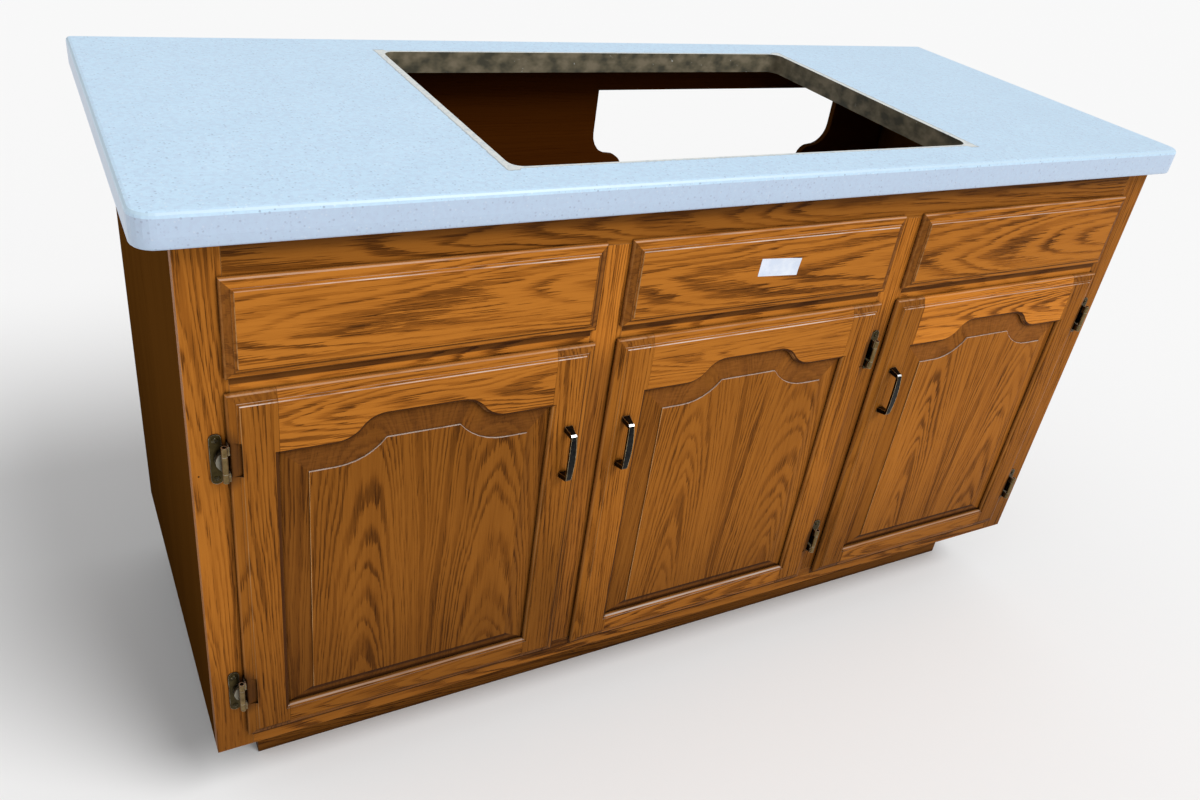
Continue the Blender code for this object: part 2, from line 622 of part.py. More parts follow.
def door_leaf_mesh():
    """A strip with the two outer knuckles, wrapped round the door's lip and rabbet on to its back."""
    lip_side = PIN_OUTSET - JOINT_GAP
    lip_back = PIN_PROUD - HINGE_LEAF_GAP + JOINT_GAP
    cheek = PIN_OUTSET + DOOR_OVERLAP + DOOR_CLEARANCE - JOINT_GAP
    door_back = PIN_PROUD + DOOR_BACK + JOINT_GAP
    end = cheek + DOOR_LEAF_REACH
    half = LEAF_THICKNESS / 2
    bent = [(0, -half), (lip_side, -half), (lip_side, lip_back), (cheek, lip_back), (cheek, door_back),
            (end, door_back), (end, door_back + LEAF_THICKNESS),
            (cheek - LEAF_THICKNESS, door_back + LEAF_THICKNESS),
            (cheek - LEAF_THICKNESS, lip_back + LEAF_THICKNESS),
            (lip_side - LEAF_THICKNESS, lip_back + LEAF_THICKNESS),
            (lip_side - LEAF_THICKNESS, half), (0, half)]
    strip = outline_mesh(bent, centred(BARREL_LENGTH - RUNNING_GAP))
    middle = BARREL_LENGTH / 2 - OUTER_KNUCKLE
    notch = box_mesh((-CUT_SPARE, PIN_OUTSET + RUNNING_GAP), (-CUT_SPARE, PIN_PROUD + CUT_SPARE),
                     centred(2 * middle + RUNNING_GAP))
    ends = BARREL_LENGTH / 2
    knuckles = [cylinder_mesh(BARREL_RADIUS, span) for span in ((middle, ends), (-ends, -middle))]
    strip = combined(strip, notch, "DIFFERENCE")
    return combined(joined([strip] + knuckles), pin_bore(), "DIFFERENCE")


def pin_bore():
    return cylinder_mesh(PIN_RADIUS + JOINT_GAP, centred(BARREL_LENGTH + 2 * CUT_SPARE))


# Handle, drawn about the middle of its base, which lies on y = 0

def handle_mesh():
    """A flat bar, bowed and widest at its middle, that bends at its ends into feet that flare on the door."""
    upper = [handle_ring(*section) for section in handle_half()]
    lower = [[(x, y, -z) for x, y, z in ring] for ring in reversed(upper[:-1])]
    return loft(upper + lower)


def handle_ring(outer, inner, width):
    """The corners of a handle section, from its outer and inner middles in y and z."""
    return [(-width / 2, *outer), (width / 2, *outer), (width / 2, *inner), (-width / 2, *inner)]


def handle_half():
    """Sections of (outer, inner, width) from the upper foot's base to the bar's middle, in y and z."""
    reach = HANDLE_PROJECTION - HANDLE_BOW
    top = HANDLE_LENGTH / 2
    foot = HANDLE_CENTRES / 2
    flare = HANDLE_FOOT_HEIGHT / 2
    sections = [((0, foot + flare), (0, foot - flare), HANDLE_FOOT_WIDTH)]
    for index in range(ROUND_STEPS + 1):
        turn = math.pi / 2 * index / ROUND_STEPS
        outer = (HANDLE_BEND * (1 - math.sin(turn)) - reach, top - HANDLE_BEND * (1 - math.cos(turn)))
        depth = HANDLE_BEND + (HANDLE_BAR_THICKNESS - HANDLE_BEND) * index / ROUND_STEPS
        sections.append((outer, (depth - reach, top - HANDLE_NECK), HANDLE_END_WIDTH))
    for index in range(1, ROUND_STEPS + 1):
        along = 1 - index / ROUND_STEPS
        front = HANDLE_BOW * along ** 2 - HANDLE_PROJECTION
        level = along * (top - HANDLE_NECK)
        width = HANDLE_BAR_WIDTH + (HANDLE_END_WIDTH - HANDLE_BAR_WIDTH) * along ** 2
        sections.append(((front, level), (front + HANDLE_BAR_THICKNESS, level), width))
    return sections


build_carcass()
build_face_frame()
build_drawer_fronts()
build_doors()
build_worktop()
for part in PARTS.objects:
    if part.type == "MESH":
        part.data.shade_smooth()
        part.data.set_sharp_from_angle(angle=SMOOTH_ANGLE)
bpy.context.view_layer.update()
print("parts", sum(part.type == "MESH" for part in PARTS.objects))
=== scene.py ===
import math

import bmesh
import bpy
from mathutils import Matrix, Vector


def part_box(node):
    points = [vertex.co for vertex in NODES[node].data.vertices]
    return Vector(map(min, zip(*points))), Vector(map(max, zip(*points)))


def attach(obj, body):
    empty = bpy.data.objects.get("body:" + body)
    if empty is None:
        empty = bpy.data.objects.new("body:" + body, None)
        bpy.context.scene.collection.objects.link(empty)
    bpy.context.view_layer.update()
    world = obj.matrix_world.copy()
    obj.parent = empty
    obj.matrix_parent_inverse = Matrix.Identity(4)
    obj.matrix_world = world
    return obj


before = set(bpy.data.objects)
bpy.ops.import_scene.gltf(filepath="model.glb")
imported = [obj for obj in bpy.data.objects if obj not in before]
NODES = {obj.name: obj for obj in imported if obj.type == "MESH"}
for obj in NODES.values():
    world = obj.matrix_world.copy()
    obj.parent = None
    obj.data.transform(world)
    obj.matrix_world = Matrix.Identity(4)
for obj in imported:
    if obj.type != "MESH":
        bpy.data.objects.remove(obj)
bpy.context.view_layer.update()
BAYS = ("left", "centre", "right")
LEVELS = ("upper", "lower")

# How the camera sees the cabinet: a lens for a 36 mm wide frame, and the camera's own axes
LENS = 30.73
SENSOR_WIDTH = 36.0
CAMERA_PLACE = (-0.8762, -1.28215, 1.3191)
CAMERA_RIGHT = Vector((0.87561, -0.46483, 0.13127))
CAMERA_DOWN = Vector((-0.14922, -0.51882, -0.84176))
CAMERA_AHEAD = Vector((0.45938, 0.71747, -0.52365))

# Where the worktop's sink opening lies, from the worktop's own edges
SINK_HALF_WIDTH = 0.375
SINK_FRONT_MARGIN = 0.073
SINK_BACK_MARGIN = 0.067

# The strip under the worktop's front and ends: how far it drops, and the worktop's own roundings that it follows
DROP = 0.0072
DROP_WIDTH = 0.019
DROP_ROUND = 0.003
DROP_ROUND_STEPS = 3
WORKTOP_ARRIS = 0.006
WORKTOP_CORNER = 0.025
CORNER_STEPS = 6

# Hinge leaves, and where the screws that the scene adds go
LEAF_THICKNESS = 0.0012
PLATE_MIDDLE = 0.0064
PLATE_SCREW_HEIGHT = 0.0262
LEAF_SCREW_INSET = 0.009
LEAF_SCREW_HEIGHT = 0.013
HANDLE_SCREW_HEIGHT = 0.0375

# How deep an added piece is set into what carries it
SEATED = 0.0001

# The blank label on the centre drawer front
LABEL_PLACE = (0.008, 0.772)
LABEL_SIZE = (0.068, 0.026)
LABEL_TURN = math.radians(-3.6)
LABEL_THICKNESS = 0.0002
LABEL_STEPS = (16, 6)

# Its corner that has come unstuck: how far it lifts, how much height counts, where the lift starts and how long it is
LABEL_LIFT = 0.0012
LIFT_SLANT = 0.4
LIFT_START = 1.12
LIFT_LENGTH = 0.28

# Edges of the added pieces that turn by more than this are sharp
SHARP_ANGLE = math.radians(40)


# Shader building

def add(tree, kind, values=None, **settings):
    """Add a shader node, and feed its inputs with plain values or with other nodes' outputs."""
    made = tree.nodes.new("ShaderNode" + kind)
    for key, value in settings.items():
        setattr(made, key, value)
    for key, value in (values or {}).items():
        if isinstance(value, bpy.types.NodeSocket):
            tree.links.new(value, made.inputs[key])
        else:
            made.inputs[key].default_value = value
    return made


def calc(tree, operation, *values):
    return add(tree, "Math", dict(enumerate(values)), operation=operation).outputs[0]


def product(tree, *values):
    result = values[0]
    for value in values[1:]:
        result = calc(tree, "MULTIPLY", result, value)
    return result


def vector_calc(tree, operation, *values):
    return add(tree, "VectorMath", dict(enumerate(values)), operation=operation).outputs[0]


def dot(tree, first, second):
    return add(tree, "VectorMath", {0: first, 1: second}, operation="DOT_PRODUCT").outputs["Value"]


def parts(tree, vector):
    """A vector's X, Y and Z."""
    return add(tree, "SeparateXYZ", {0: vector}).outputs


def ease(tree, value, low, high):
    """0 below low, 1 above high and smooth between."""
    made = add(tree, "MapRange", {"Value": value, "From Min": low, "From Max": high},
               interpolation_type="SMOOTHSTEP")
    return made.outputs["Result"]


def fade(tree, value, low, high):
    """1 below low, 0 above high and smooth between."""
    made = add(tree, "MapRange", {"Value": value, "From Min": low, "From Max": high, "To Min": 1.0, "To Max": 0.0},
               interpolation_type="SMOOTHSTEP")
    return made.outputs["Result"]


def spread(tree, value, low, high):
    """A 0 to 1 value spread between two others."""
    return add(tree, "MapRange", {"Value": value, "To Min": low, "To Max": high}).outputs["Result"]


def mix(tree, factor, first, second, blend_type="MIX"):
    made = add(tree, "Mix", {"Factor": factor, 6: first, 7: second}, data_type="RGBA", blend_type=blend_type)
    return made.outputs[2]


def noise(tree, vector, waves, seed, detail=2.0, roughness=0.5):
    """A noise with its own number of waves to the metre along each axis."""
    stretched = vector_calc(tree, "MULTIPLY", vector, waves)
    return add(tree, "TexNoise", {"Vector": stretched, "W": seed, "Scale": 1.0, "Detail": detail,
                                  "Roughness": roughness}, noise_dimensions="4D").outputs["Fac"]


def ramp(tree, factor, stops):
    """A colour ramp through (place, colour) stops."""
    made = add(tree, "ValToRGB", {"Fac": factor})
    band = made.color_ramp.elements
    while len(band) < len(stops):
        band.new(1.0)
    for element, (place, colour) in zip(band, stops):
        element.position = place
        element.color = (*colour, 1.0)
    return made.outputs["Color"]


def new_material(name, **constants):
    """A Principled material whose constant values sit on the shader's own sockets."""
    material = bpy.data.materials.new(name)
    material.use_nodes = True
    shader = material.node_tree.nodes["Principled BSDF"]
    for key, value in constants.items():
        shader.inputs[key.replace("_", " ")].default_value = value
    return material, material.node_tree, shader


def bumped(tree, shader, height, strength, distance):
    bump = add(tree, "Bump", {"Height": height, "Strength": strength, "Distance": distance})
    tree.links.new(bump.outputs["Normal"], shader.inputs["Normal"])


# How far a rounded edge's normal turns from the face's own, as their dot product
ARRIS_TURN = (0.86, 0.99)


def arrises(tree, radius):
    """1 on sharp edges and 0 on flat faces, over a radius."""
    bent = add(tree, "Bevel", {"Radius": radius}, samples=4).outputs["Normal"]
    flat = add(tree, "NewGeometry").outputs["Normal"]
    return fade(tree, dot(tree, bent, flat), *ARRIS_TURN)


def openness(tree, distance):
    """1 on open faces, and less in corners that are narrower than a distance."""
    return add(tree, "AmbientOcclusion", {"Distance": distance}, samples=6).outputs["AO"]


def dress(name, material):
    """Give a CAD node a material of the scene's own."""
    slots = NODES[name].data.materials
    slots.clear()
    slots.append(material)


# Wood: waves to the metre across a board, into it and along its grain

SWAYS = (((6, 6, 1.5), 0.040), ((34, 34, 6), 0.008))
FINGER_WAVES = (540, 540, 13)
STRENGTH_WAVES = (22, 22, 4)
PORE_WAVES = (560, 560, 15)
LINE_WAVES = (250, 250, 2.2)
TONE_WAVES = (26, 26, 1.8)
END_WAVES = (60, 60, 420)
SCUFF_WAVES = (90, 90, 9)

# The rings: how uneven they are, where dark early wood ends and starts again in each, and how strong it gets
UNEVEN_SCALE = 0.37
UNEVEN_SIZE = 3.0
EARLY_END = (0.14, 0.5)
EARLY_START = (0.93, 1.0)
RING_PATCHES = (0.25, 0.75)
RING_STRENGTHS = (0.15, 1.4)

# How far the log's heart moves from one glued board to the next
BOARD_STEP = 0.0137

# Where a streak becomes a pore, and how many pores late wood keeps
PORE_EDGE = (0.5, 0.62)
LATE_PORES = 0.28


def oak_group():
    """Plain-sawn oak as a log's rings: x across the board, y into it and z along the grain."""
    tree = bpy.data.node_groups.new("plain_sawn_oak", "ShaderNodeTree")
    for name, kind in (("Place", "Vector"), ("Seed", "Float"), ("Heart", "Float"), ("Lean", "Float"),
                       ("Board", "Float"), ("Ring", "Float"), ("Ragged", "Float")):
        tree.interface.new_socket(name=name, in_out="INPUT", socket_type="NodeSocket" + kind)
    for name in ("Grain", "Pores", "Lines", "Tone"):
        tree.interface.new_socket(name=name, in_out="OUTPUT", socket_type="NodeSocketFloat")
    given = tree.nodes.new("NodeGroupInput").outputs
    result = tree.nodes.new("NodeGroupOutput").inputs
    place, seed = given["Place"], given["Seed"]

    swayed = place
    for waves, size in SWAYS:
        stretched = vector_calc(tree, "MULTIPLY", place, waves)
        push = add(tree, "TexNoise", {"Vector": stretched, "W": seed, "Scale": 1.0}, noise_dimensions="4D")
        push = vector_calc(tree, "MULTIPLY_ADD", push.outputs["Color"], (size, size, 0), (-size / 2, -size / 2, 0))
        swayed = vector_calc(tree, "ADD", swayed, push)
    split = parts(tree, swayed)
    half = calc(tree, "MULTIPLY", given["Board"], 0.5)
    across = calc(tree, "WRAP", split["X"], half, calc(tree, "MULTIPLY", half, -1.0))
    board = calc(tree, "FLOOR", calc(tree, "DIVIDE", calc(tree, "ADD", split["X"], half), given["Board"]))
    deep = calc(tree, "MULTIPLY_ADD", split["Z"], given["Lean"], given["Heart"])
    deep = calc(tree, "MULTIPLY_ADD", board, BOARD_STEP, deep)
    deep = calc(tree, "ADD", deep, split["Y"])
    radius = calc(tree, "SQRT", calc(tree, "MULTIPLY_ADD", across, across, calc(tree, "MULTIPLY", deep, deep)))
    count = calc(tree, "DIVIDE", radius, given["Ring"])
    uneven = add(tree, "TexNoise", {"W": count, "Scale": UNEVEN_SCALE, "Detail": 1.0}, noise_dimensions="1D")
    count = calc(tree, "MULTIPLY_ADD", uneven.outputs["Fac"], UNEVEN_SIZE, count)
    fingers = noise(tree, place, FINGER_WAVES, seed, 3.0, 0.7)
    count = calc(tree, "MULTIPLY_ADD", calc(tree, "SUBTRACT", fingers, 0.5), given["Ragged"], count)
    turn = calc(tree, "FRACT", count)
    early = calc(tree, "MAXIMUM", fade(tree, turn, *EARLY_END), ease(tree, turn, *EARLY_START))
    patches = ease(tree, noise(tree, place, STRENGTH_WAVES, seed), *RING_PATCHES)
    tree.links.new(calc(tree, "MULTIPLY", early, spread(tree, patches, *RING_STRENGTHS)), result["Grain"])

    pores = ease(tree, noise(tree, place, PORE_WAVES, seed, 4.0, 0.7), *PORE_EDGE)
    tree.links.new(calc(tree, "MULTIPLY", pores, spread(tree, early, LATE_PORES, 1.0)), result["Pores"])
    tree.links.new(noise(tree, swayed, LINE_WAVES, seed, 3.0, 0.6), result["Lines"])
    tree.links.new(noise(tree, place, TONE_WAVES, seed, 3.0, 0.6), result["Tone"])
    return tree


OAK_GROUP = oak_group()

# Turns from the cabinet's axes to a board's own
ALONG_Z = Matrix.Identity(3)
ALONG_X = Matrix(((0, 0, 1), (0, 1, 0), (-1, 0, 0)))
SIDEWAYS_Z = Matrix(((0, -1, 0), (1, 0, 0), (0, 0, 1)))
FLAT_X = Matrix(((0, 1, 0), (0, 0, 1), (1, 0, 0)))

# Stains: colours from pale to dark grain, colours of end grain, and the shader's specular level
OAK = {
    "colours": ((0.0, (0.52, 0.183, 0.024)), (0.3, (0.375, 0.123, 0.015)), (0.62, (0.19, 0.061, 0.0085)),
                (1.0, (0.070, 0.023, 0.0045))),
    "ends": ((0.35, (0.205, 0.071, 0.015)), (0.65, (0.125, 0.043, 0.009))),
    "gloss": 0.02,
}
VENEER = {
    "colours": ((0.0, (0.108, 0.040, 0.006)), (0.5, (0.080, 0.029, 0.004)), (1.0, (0.043, 0.015, 0.002))),
    "ends": ((0.3, (0.05, 0.018, 0.004)), (0.7, (0.04, 0.014, 0.003))),
    "gloss": 0.0,
}
LINING = {
    "colours": ((0.0, (0.085, 0.023, 0.0022)), (0.5, (0.062, 0.015, 0.0014)), (1.0, (0.030, 0.008, 0.001))),
    "ends": ((0.3, (0.05, 0.018, 0.004)), (0.7, (0.04, 0.014, 0.003))),
    "gloss": 0.0,
}

# Colours for wear and painted highlights on edges, for painted shade and shadow, and for a nail hole
# A pale painted sheen, broken by scuffs, on edges that look up
WORN_AND_SHEEN = (0.68, 0.55, 0.47, 1)
# Bare wood, for wear on square edges and as a painted highlight on moulding faces that look up or left
BARE_AND_HIGHLIGHT = (0.52, 0.225, 0.060, 1)
# A painted orange highlight on crests and edges that look left, broken by scuffs
RUBBED_AND_HIGHLIGHT = (0.80, 0.46, 0.20, 1)
# Painted shade round the hinges
HINGE_SHADE = (0.075, 0.030, 0.010, 1)
SHADOW = (0.045, 0.016, 0.006, 1)
HOLE = (0.02, 0.006, 0.002, 1)

# How much the rings, the pores and the fine lines count, and their usual values
BAND_FIGURE = (0.53, 0.44, 0.22)
RAIL_FIGURE = (0.44, 0.50, 0.30)
PANEL_FIGURE = (0.34, 0.34, 0.42)
STILE_FIGURE = (0.30, 0.52, 0.54)
CALM_FIGURE = (0.20, 0.25, 0.22)
FIGURE_MEANS = (0.27, 0.2, 0.5)
TONE_WEIGHT = 0.5

# Heights between which painted shade darkens boards towards the floor, and how light they stay there
FOOT = (0.05, 0.42)
SIDE_FOOT = (0.05, 0.75)
FEET = {"left_door_pull_stile": (0.25, 0.60)}
FOOT_LIGHT = 0.5

# Where a face turns enough to show end grain, and where scuffs and the painted shade in corners start and end
END_SLANT = (0.03, 0.13)
SCUFF_EDGE = (0.3, 0.6)
CORNER_WIDTH = 0.016
CORNER_EDGE = (0.3, 0.85)

WOOD_ROUGHNESS = (0.36, 0.52)
WOOD_BUMP = 0.3
WOOD_BUMP_DEPTH = 0.0006


def dimmed(stops, dim):
    """Ramp stops whose colours are all dimmed alike."""
    return [(place, tuple(part * dim for part in colour)) for place, colour in stops]


def wood(name, stain, turn, seed, shift=(0, 0, 0), heart=0.035, lean=0.1, board=0.6, ring=0.0034, ragged=1.2,
         dim=1.0, figure=STILE_FIGURE, ends=0.85, end_dim=1.0, corners=0.1, foot=FOOT, wear_and_shading=None):
    """A wood material for one CAD board, with its grain's middle set from the board's own middle.

    heart and lean are how deep the log's heart lies and how it slopes, board is a glued board's width, ring a ring's
    width, and ragged how frayed the rings are. figure weighs the rings, the pores and the fine lines, and ends is how
    much end grain shows on faces that turn along the grain's run. corners is how light the board stays in corners,
    which get painted shade, and foot is the heights between which painted shade darkens it downwards. The last
    argument is a function that adds the board's own marks, painted highlights and painted shade to its colour.
    """
    low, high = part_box(name)
    material, tree, shader = new_material("wood_" + name, Specular_IOR_Level=stain["gloss"])
    coordinates = add(tree, "TexCoord").outputs
    offset = Vector(shift) - turn @ ((low + high) / 2)
    mapped = add(tree, "Mapping", {"Vector": coordinates["Object"], "Location": offset,
                                   "Rotation": turn.to_euler()}).outputs[0]
    grain = tree.nodes.new("ShaderNodeGroup")
    grain.node_tree = OAK_GROUP
    tree.links.new(mapped, grain.inputs["Place"])
    for key, value in (("Seed", seed), ("Heart", heart), ("Lean", lean), ("Board", board), ("Ring", ring),
                       ("Ragged", ragged)):
        grain.inputs[key].default_value = value
    level = sum(usual * weight for usual, weight in zip(FIGURE_MEANS, figure))
    depth = calc(tree, "MULTIPLY_ADD", grain.outputs["Tone"], TONE_WEIGHT, -level)
    for key, weight in zip(("Grain", "Pores", "Lines"), figure):
        depth = calc(tree, "MULTIPLY_ADD", grain.outputs[key], weight, depth)
    colour = ramp(tree, depth, dimmed(stain["colours"], dim))

    slant = calc(tree, "ABSOLUTE", dot(tree, coordinates["Normal"], turn.row[2]))
    curls = noise(tree, mapped, END_WAVES, seed, 3.0, 0.6)
    end_grain = ramp(tree, curls, dimmed(stain["ends"], dim * end_dim))
    colour = mix(tree, product(tree, ease(tree, slant, *END_SLANT), ends), colour, end_grain)
    if wear_and_shading:
        scuffs = ease(tree, noise(tree, mapped, SCUFF_WAVES, seed, 3.0, 0.6), *SCUFF_EDGE)
        colour = wear_and_shading(tree, colour, coordinates, scuffs, low.y)
    # Painted shade in corners, by ambient occlusion
    light = spread(tree, ease(tree, openness(tree, CORNER_WIDTH), *CORNER_EDGE), corners, 1.0)
    # Painted shade that darkens the board towards the floor
    height = parts(tree, coordinates["Object"])["Z"]
    light = product(tree, light, spread(tree, ease(tree, height, *foot), FOOT_LIGHT, 1.0))
    tree.links.new(mix(tree, 1.0, colour, light, "MULTIPLY"), shader.inputs["Base Color"])
    tree.links.new(spread(tree, depth, *WOOD_ROUGHNESS), shader.inputs["Roughness"])
    bumped(tree, shader, calc(tree, "MULTIPLY", depth, -1.0), WOOD_BUMP, WOOD_BUMP_DEPTH)
    dress(name, material)


# Which way a moulding's faces look, by the parts of their normals
LOOKS_UP = (0.35, 0.6)
LOOKS_DOWN = (-0.2, -0.1)
LOOKS_LEFT = (-0.6, -0.35)
LOOKS_RIGHT = (0.1, 0.2)
LIP_START = (0.55, 0.65)
LIP_END = (0.8, 0.92)

# How deep below a board's face its crests, its step and its outer edge lie
CRESTS = (0.0017, 0.0023)
LOW_CRESTS = (0.0030, 0.0042)
STEP = (0.0029, 0.0038)
OUTER_EDGE = (0.0044, 0.0050)

# How strong the painted shadow and the painted highlights on mouldings are, between the scuffs and on them
PAINTED_SHADOW_STRENGTH = 0.88
UP_BARE_HIGHLIGHT = (0.05, 0.45)
LEFT_BARE_HIGHLIGHT = (0.1, 0.45)
LEFT_RUBBED_HIGHLIGHT = (0.1, 1.0)
FAINTEST = 0.1
LOW_FAINTEST = 0.45

# Painted shade round the hinges: how far it reaches across and along, how it ends, and how strong it is
HINGE_SHADE_REACH = (0.024, 0.046)
HINGE_SHADE_EDGE = (0.3, 1.2)
HINGE_SHADE_STRENGTH = 0.75


def moulded(lip, side, top, hinges=(), crests=CRESTS, faintest=FAINTEST):
    """Painted highlights and painted shadow for a board with a moulded edge, broken by scuffs, with painted shade
    round the hinges that are given as (x, z) places.

    Faces that look up or left get a painted bare highlight, crests that look left a painted orange one and crests
    that look up a painted pale one, all broken by scuffs, and faces that look down or right get a painted shadow
    along the step and the outer edge. top, side and lip are how strong the lines along the upper crests, the left
    crests and the lip are. crests is how deep the crests reach below the face, and faintest is how pale they stay
    between the scuffs.
    """
    def wear_and_shading(tree, colour, coordinates, scuffs, face):
        facing = parts(tree, coordinates["Normal"])
        place = parts(tree, coordinates["Object"])
        below = calc(tree, "SUBTRACT", place["Y"], face)
        crest = fade(tree, below, *crests)
        up = ease(tree, facing["Z"], *LOOKS_UP)
        left = fade(tree, facing["X"], *LOOKS_LEFT)
        # Painted shadow: faces that look down or right are darkened along the step and the outer edge
        dirty = calc(tree, "MAXIMUM", fade(tree, facing["Z"], *LOOKS_DOWN), ease(tree, facing["X"], *LOOKS_RIGHT))
        lines = calc(tree, "ADD", fade(tree, below, *STEP), ease(tree, below, *OUTER_EDGE))
        colour = mix(tree, product(tree, dirty, lines, PAINTED_SHADOW_STRENGTH), colour, SHADOW)
        # Painted highlights: faces that look up or left are lightened, broken by scuffs
        colour = mix(tree, product(tree, up, spread(tree, scuffs, *UP_BARE_HIGHLIGHT)), colour, BARE_AND_HIGHLIGHT)
        colour = mix(tree, product(tree, left, spread(tree, scuffs, *LEFT_BARE_HIGHLIGHT)), colour, BARE_AND_HIGHLIGHT)
        colour = mix(tree, product(tree, left, crest, spread(tree, scuffs, *LEFT_RUBBED_HIGHLIGHT), side), colour, RUBBED_AND_HIGHLIGHT)
        # Painted pale sheen on the lip's rounded edge and on crests that look up, broken by scuffs
        edge = product(tree, ease(tree, facing["Z"], *LIP_START), fade(tree, facing["Z"], *LIP_END), lip)
        pale = calc(tree, "MAXIMUM", product(tree, crest, up, top), edge)
        colour = mix(tree, product(tree, pale, spread(tree, scuffs, faintest, 1.0)), colour, WORN_AND_SHEEN)
        # Painted shade round each hinge
        for x, z in hinges:
            across = calc(tree, "DIVIDE", calc(tree, "SUBTRACT", place["X"], x), HINGE_SHADE_REACH[0])
            along = calc(tree, "DIVIDE", calc(tree, "SUBTRACT", place["Z"], z), HINGE_SHADE_REACH[1])
            away = calc(tree, "ADD", calc(tree, "MULTIPLY", across, across), calc(tree, "MULTIPLY", along, along))
            colour = mix(tree, product(tree, fade(tree, away, *HINGE_SHADE_EDGE), HINGE_SHADE_STRENGTH), colour, HINGE_SHADE)
        return colour
    return wear_and_shading


# A raised panel: its edges' width, how its edges and its left bevel turn, and how deep its field and bevels lie
FIELD_EDGE = 0.0014
EDGE_LEFT = (-0.5, -0.12)
EDGE_UP = (0.12, 0.5)
BEVEL_LEFT = (-0.12, -0.06)
FIELD = (0.0008, 0.0016)
BEVELS = (0.0012, 0.0018)

# How strong its painted highlight lines are, between the scuffs and on them, and how strong the painted shade on its
# left bevel is
PANEL_LINE = 0.85
PANEL_LEFT = (0.1, 0.85)
PANEL_UP = (0.5, 1.0)
BEVEL_SHADE = 0.22


def raised(tree, colour, coordinates, scuffs, face):
    """Painted light for a raised panel: a painted pale highlight on the field's upper edge and a painted orange one on
    its left edge, broken by scuffs, and painted shade on its left bevel.
    """
    colour = moulded(0.0, 0.0, PANEL_LINE)(tree, colour, coordinates, scuffs, face)
    bent = add(tree, "Bevel", {"Radius": FIELD_EDGE}, samples=6).outputs["Normal"]
    bent = add(tree, "VectorTransform", {0: bent}, vector_type="NORMAL", convert_from="WORLD", convert_to="OBJECT")
    turned = parts(tree, bent.outputs[0])
    below = calc(tree, "SUBTRACT", parts(tree, coordinates["Object"])["Y"], face)
    field = fade(tree, below, *FIELD)
    # Painted orange highlight along the field's left edge, broken by scuffs
    left = product(tree, fade(tree, turned["X"], *EDGE_LEFT), field, spread(tree, scuffs, *PANEL_LEFT))
    colour = mix(tree, left, colour, RUBBED_AND_HIGHLIGHT)
    # Painted pale highlight along the field's upper edge, broken by scuffs
    up = product(tree, ease(tree, turned["Z"], *EDGE_UP), field, spread(tree, scuffs, *PANEL_UP))
    colour = mix(tree, up, colour, WORN_AND_SHEEN)
    # Painted shade on the left bevel, which looks away from the light
    sunk = product(tree, fade(tree, turned["X"], *BEVEL_LEFT), ease(tree, below, *BEVELS), BEVEL_SHADE)
    return mix(tree, sunk, colour, SHADOW)


# Square edges: how wide they are rubbed, and how strongly between the scuffs and on them
SQUARE_EDGE = 0.0014
SQUARE_BARE = (0.15, 0.8)

# A nail hole in the left frame stile, and its radius
NAIL_HOLE = (-0.7548, 0.0, 0.5814)
NAIL_RADIUS = (0.0008, 0.0014)

# How far from a mullion's middle the gap between two doors ends, and the share of painted shade that stays in the gap
OPEN_REACH = (0.0150, 0.0168)
OPEN_SHARE = 0.35


def squared(hole=None, gloom=None, open_at=()):
    """Wear for a board with plain square edges, a nail hole where one is given, and painted shade where gloom is
    given.

    gloom is the height where the painted shade starts, the height where it is full, and how strong it is. open_at are
    places along x, between two doors, where less of that painted shade falls.
    """
    def wear_and_shading(tree, colour, coordinates, scuffs, face):
        edges = product(tree, arrises(tree, SQUARE_EDGE), spread(tree, scuffs, *SQUARE_BARE))
        colour = mix(tree, edges, colour, BARE_AND_HIGHLIGHT)
        if hole:
            flat = vector_calc(tree, "MULTIPLY", coordinates["Object"], (1, 0, 1))
            away = add(tree, "VectorMath", {0: flat, 1: hole}, operation="DISTANCE").outputs["Value"]
            colour = mix(tree, fade(tree, away, *NAIL_RADIUS), colour, HOLE)
        if gloom:
            start, full, strength = gloom
            place = parts(tree, coordinates["Object"])
            # Painted shade by height, such as the shadow under a lip or the worktop's edge
            painted_shade = product(tree, ease(tree, place["Z"], start, full), strength)
            for x in open_at:
                away = calc(tree, "ABSOLUTE", calc(tree, "SUBTRACT", place["X"], x))
                painted_shade = product(tree, painted_shade, spread(tree, ease(tree, away, *OPEN_REACH), OPEN_SHARE, 1.0))
            colour = mix(tree, painted_shade, colour, SHADOW)
        return colour
    return wear_and_shading


# How light each oak board is
DIMS = {
    "left_door_panel": 0.50, "centre_door_panel": 0.64, "right_door_panel": 0.75,
    "left_door_hinge_stile": 0.62, "left_door_pull_stile": 0.74, "centre_door_hinge_stile": 0.74,
    "centre_door_pull_stile": 0.74, "right_door_hinge_stile": 0.68, "right_door_pull_stile": 0.62,
    "left_mid_rail": 1.15, "centre_mid_rail": 1.1, "right_mid_rail": 1.1,
    "left_frame_stile": 0.77, "right_frame_stile": 0.66, "frame_top_rail": 0.62, "frame_bottom_rail": 0.95,
    "left_drawer_front": 0.88, "centre_drawer_front": 0.86, "right_drawer_front": 0.84,
    "left_door_top_rail": 0.85, "centre_door_top_rail": 0.85, "right_door_top_rail": 1.15,
    "left_mullion": 1.1, "right_mullion": 1.0, "centre_door_bottom_rail": 1.0,
    "right_door_bottom_rail": 0.9, "plinth_front": 0.6,
}
DEFAULT_DIM = 0.7

# How strong the painted highlight lines are along the upper edges of each bay's boards, and along its door's bottom
# rail
TOP_LINE = {"left": 0.9, "centre": 0.95, "right": 0.5}
LOW_LINE = {"left": 0.5, "centre": 0.95, "right": 0.4}

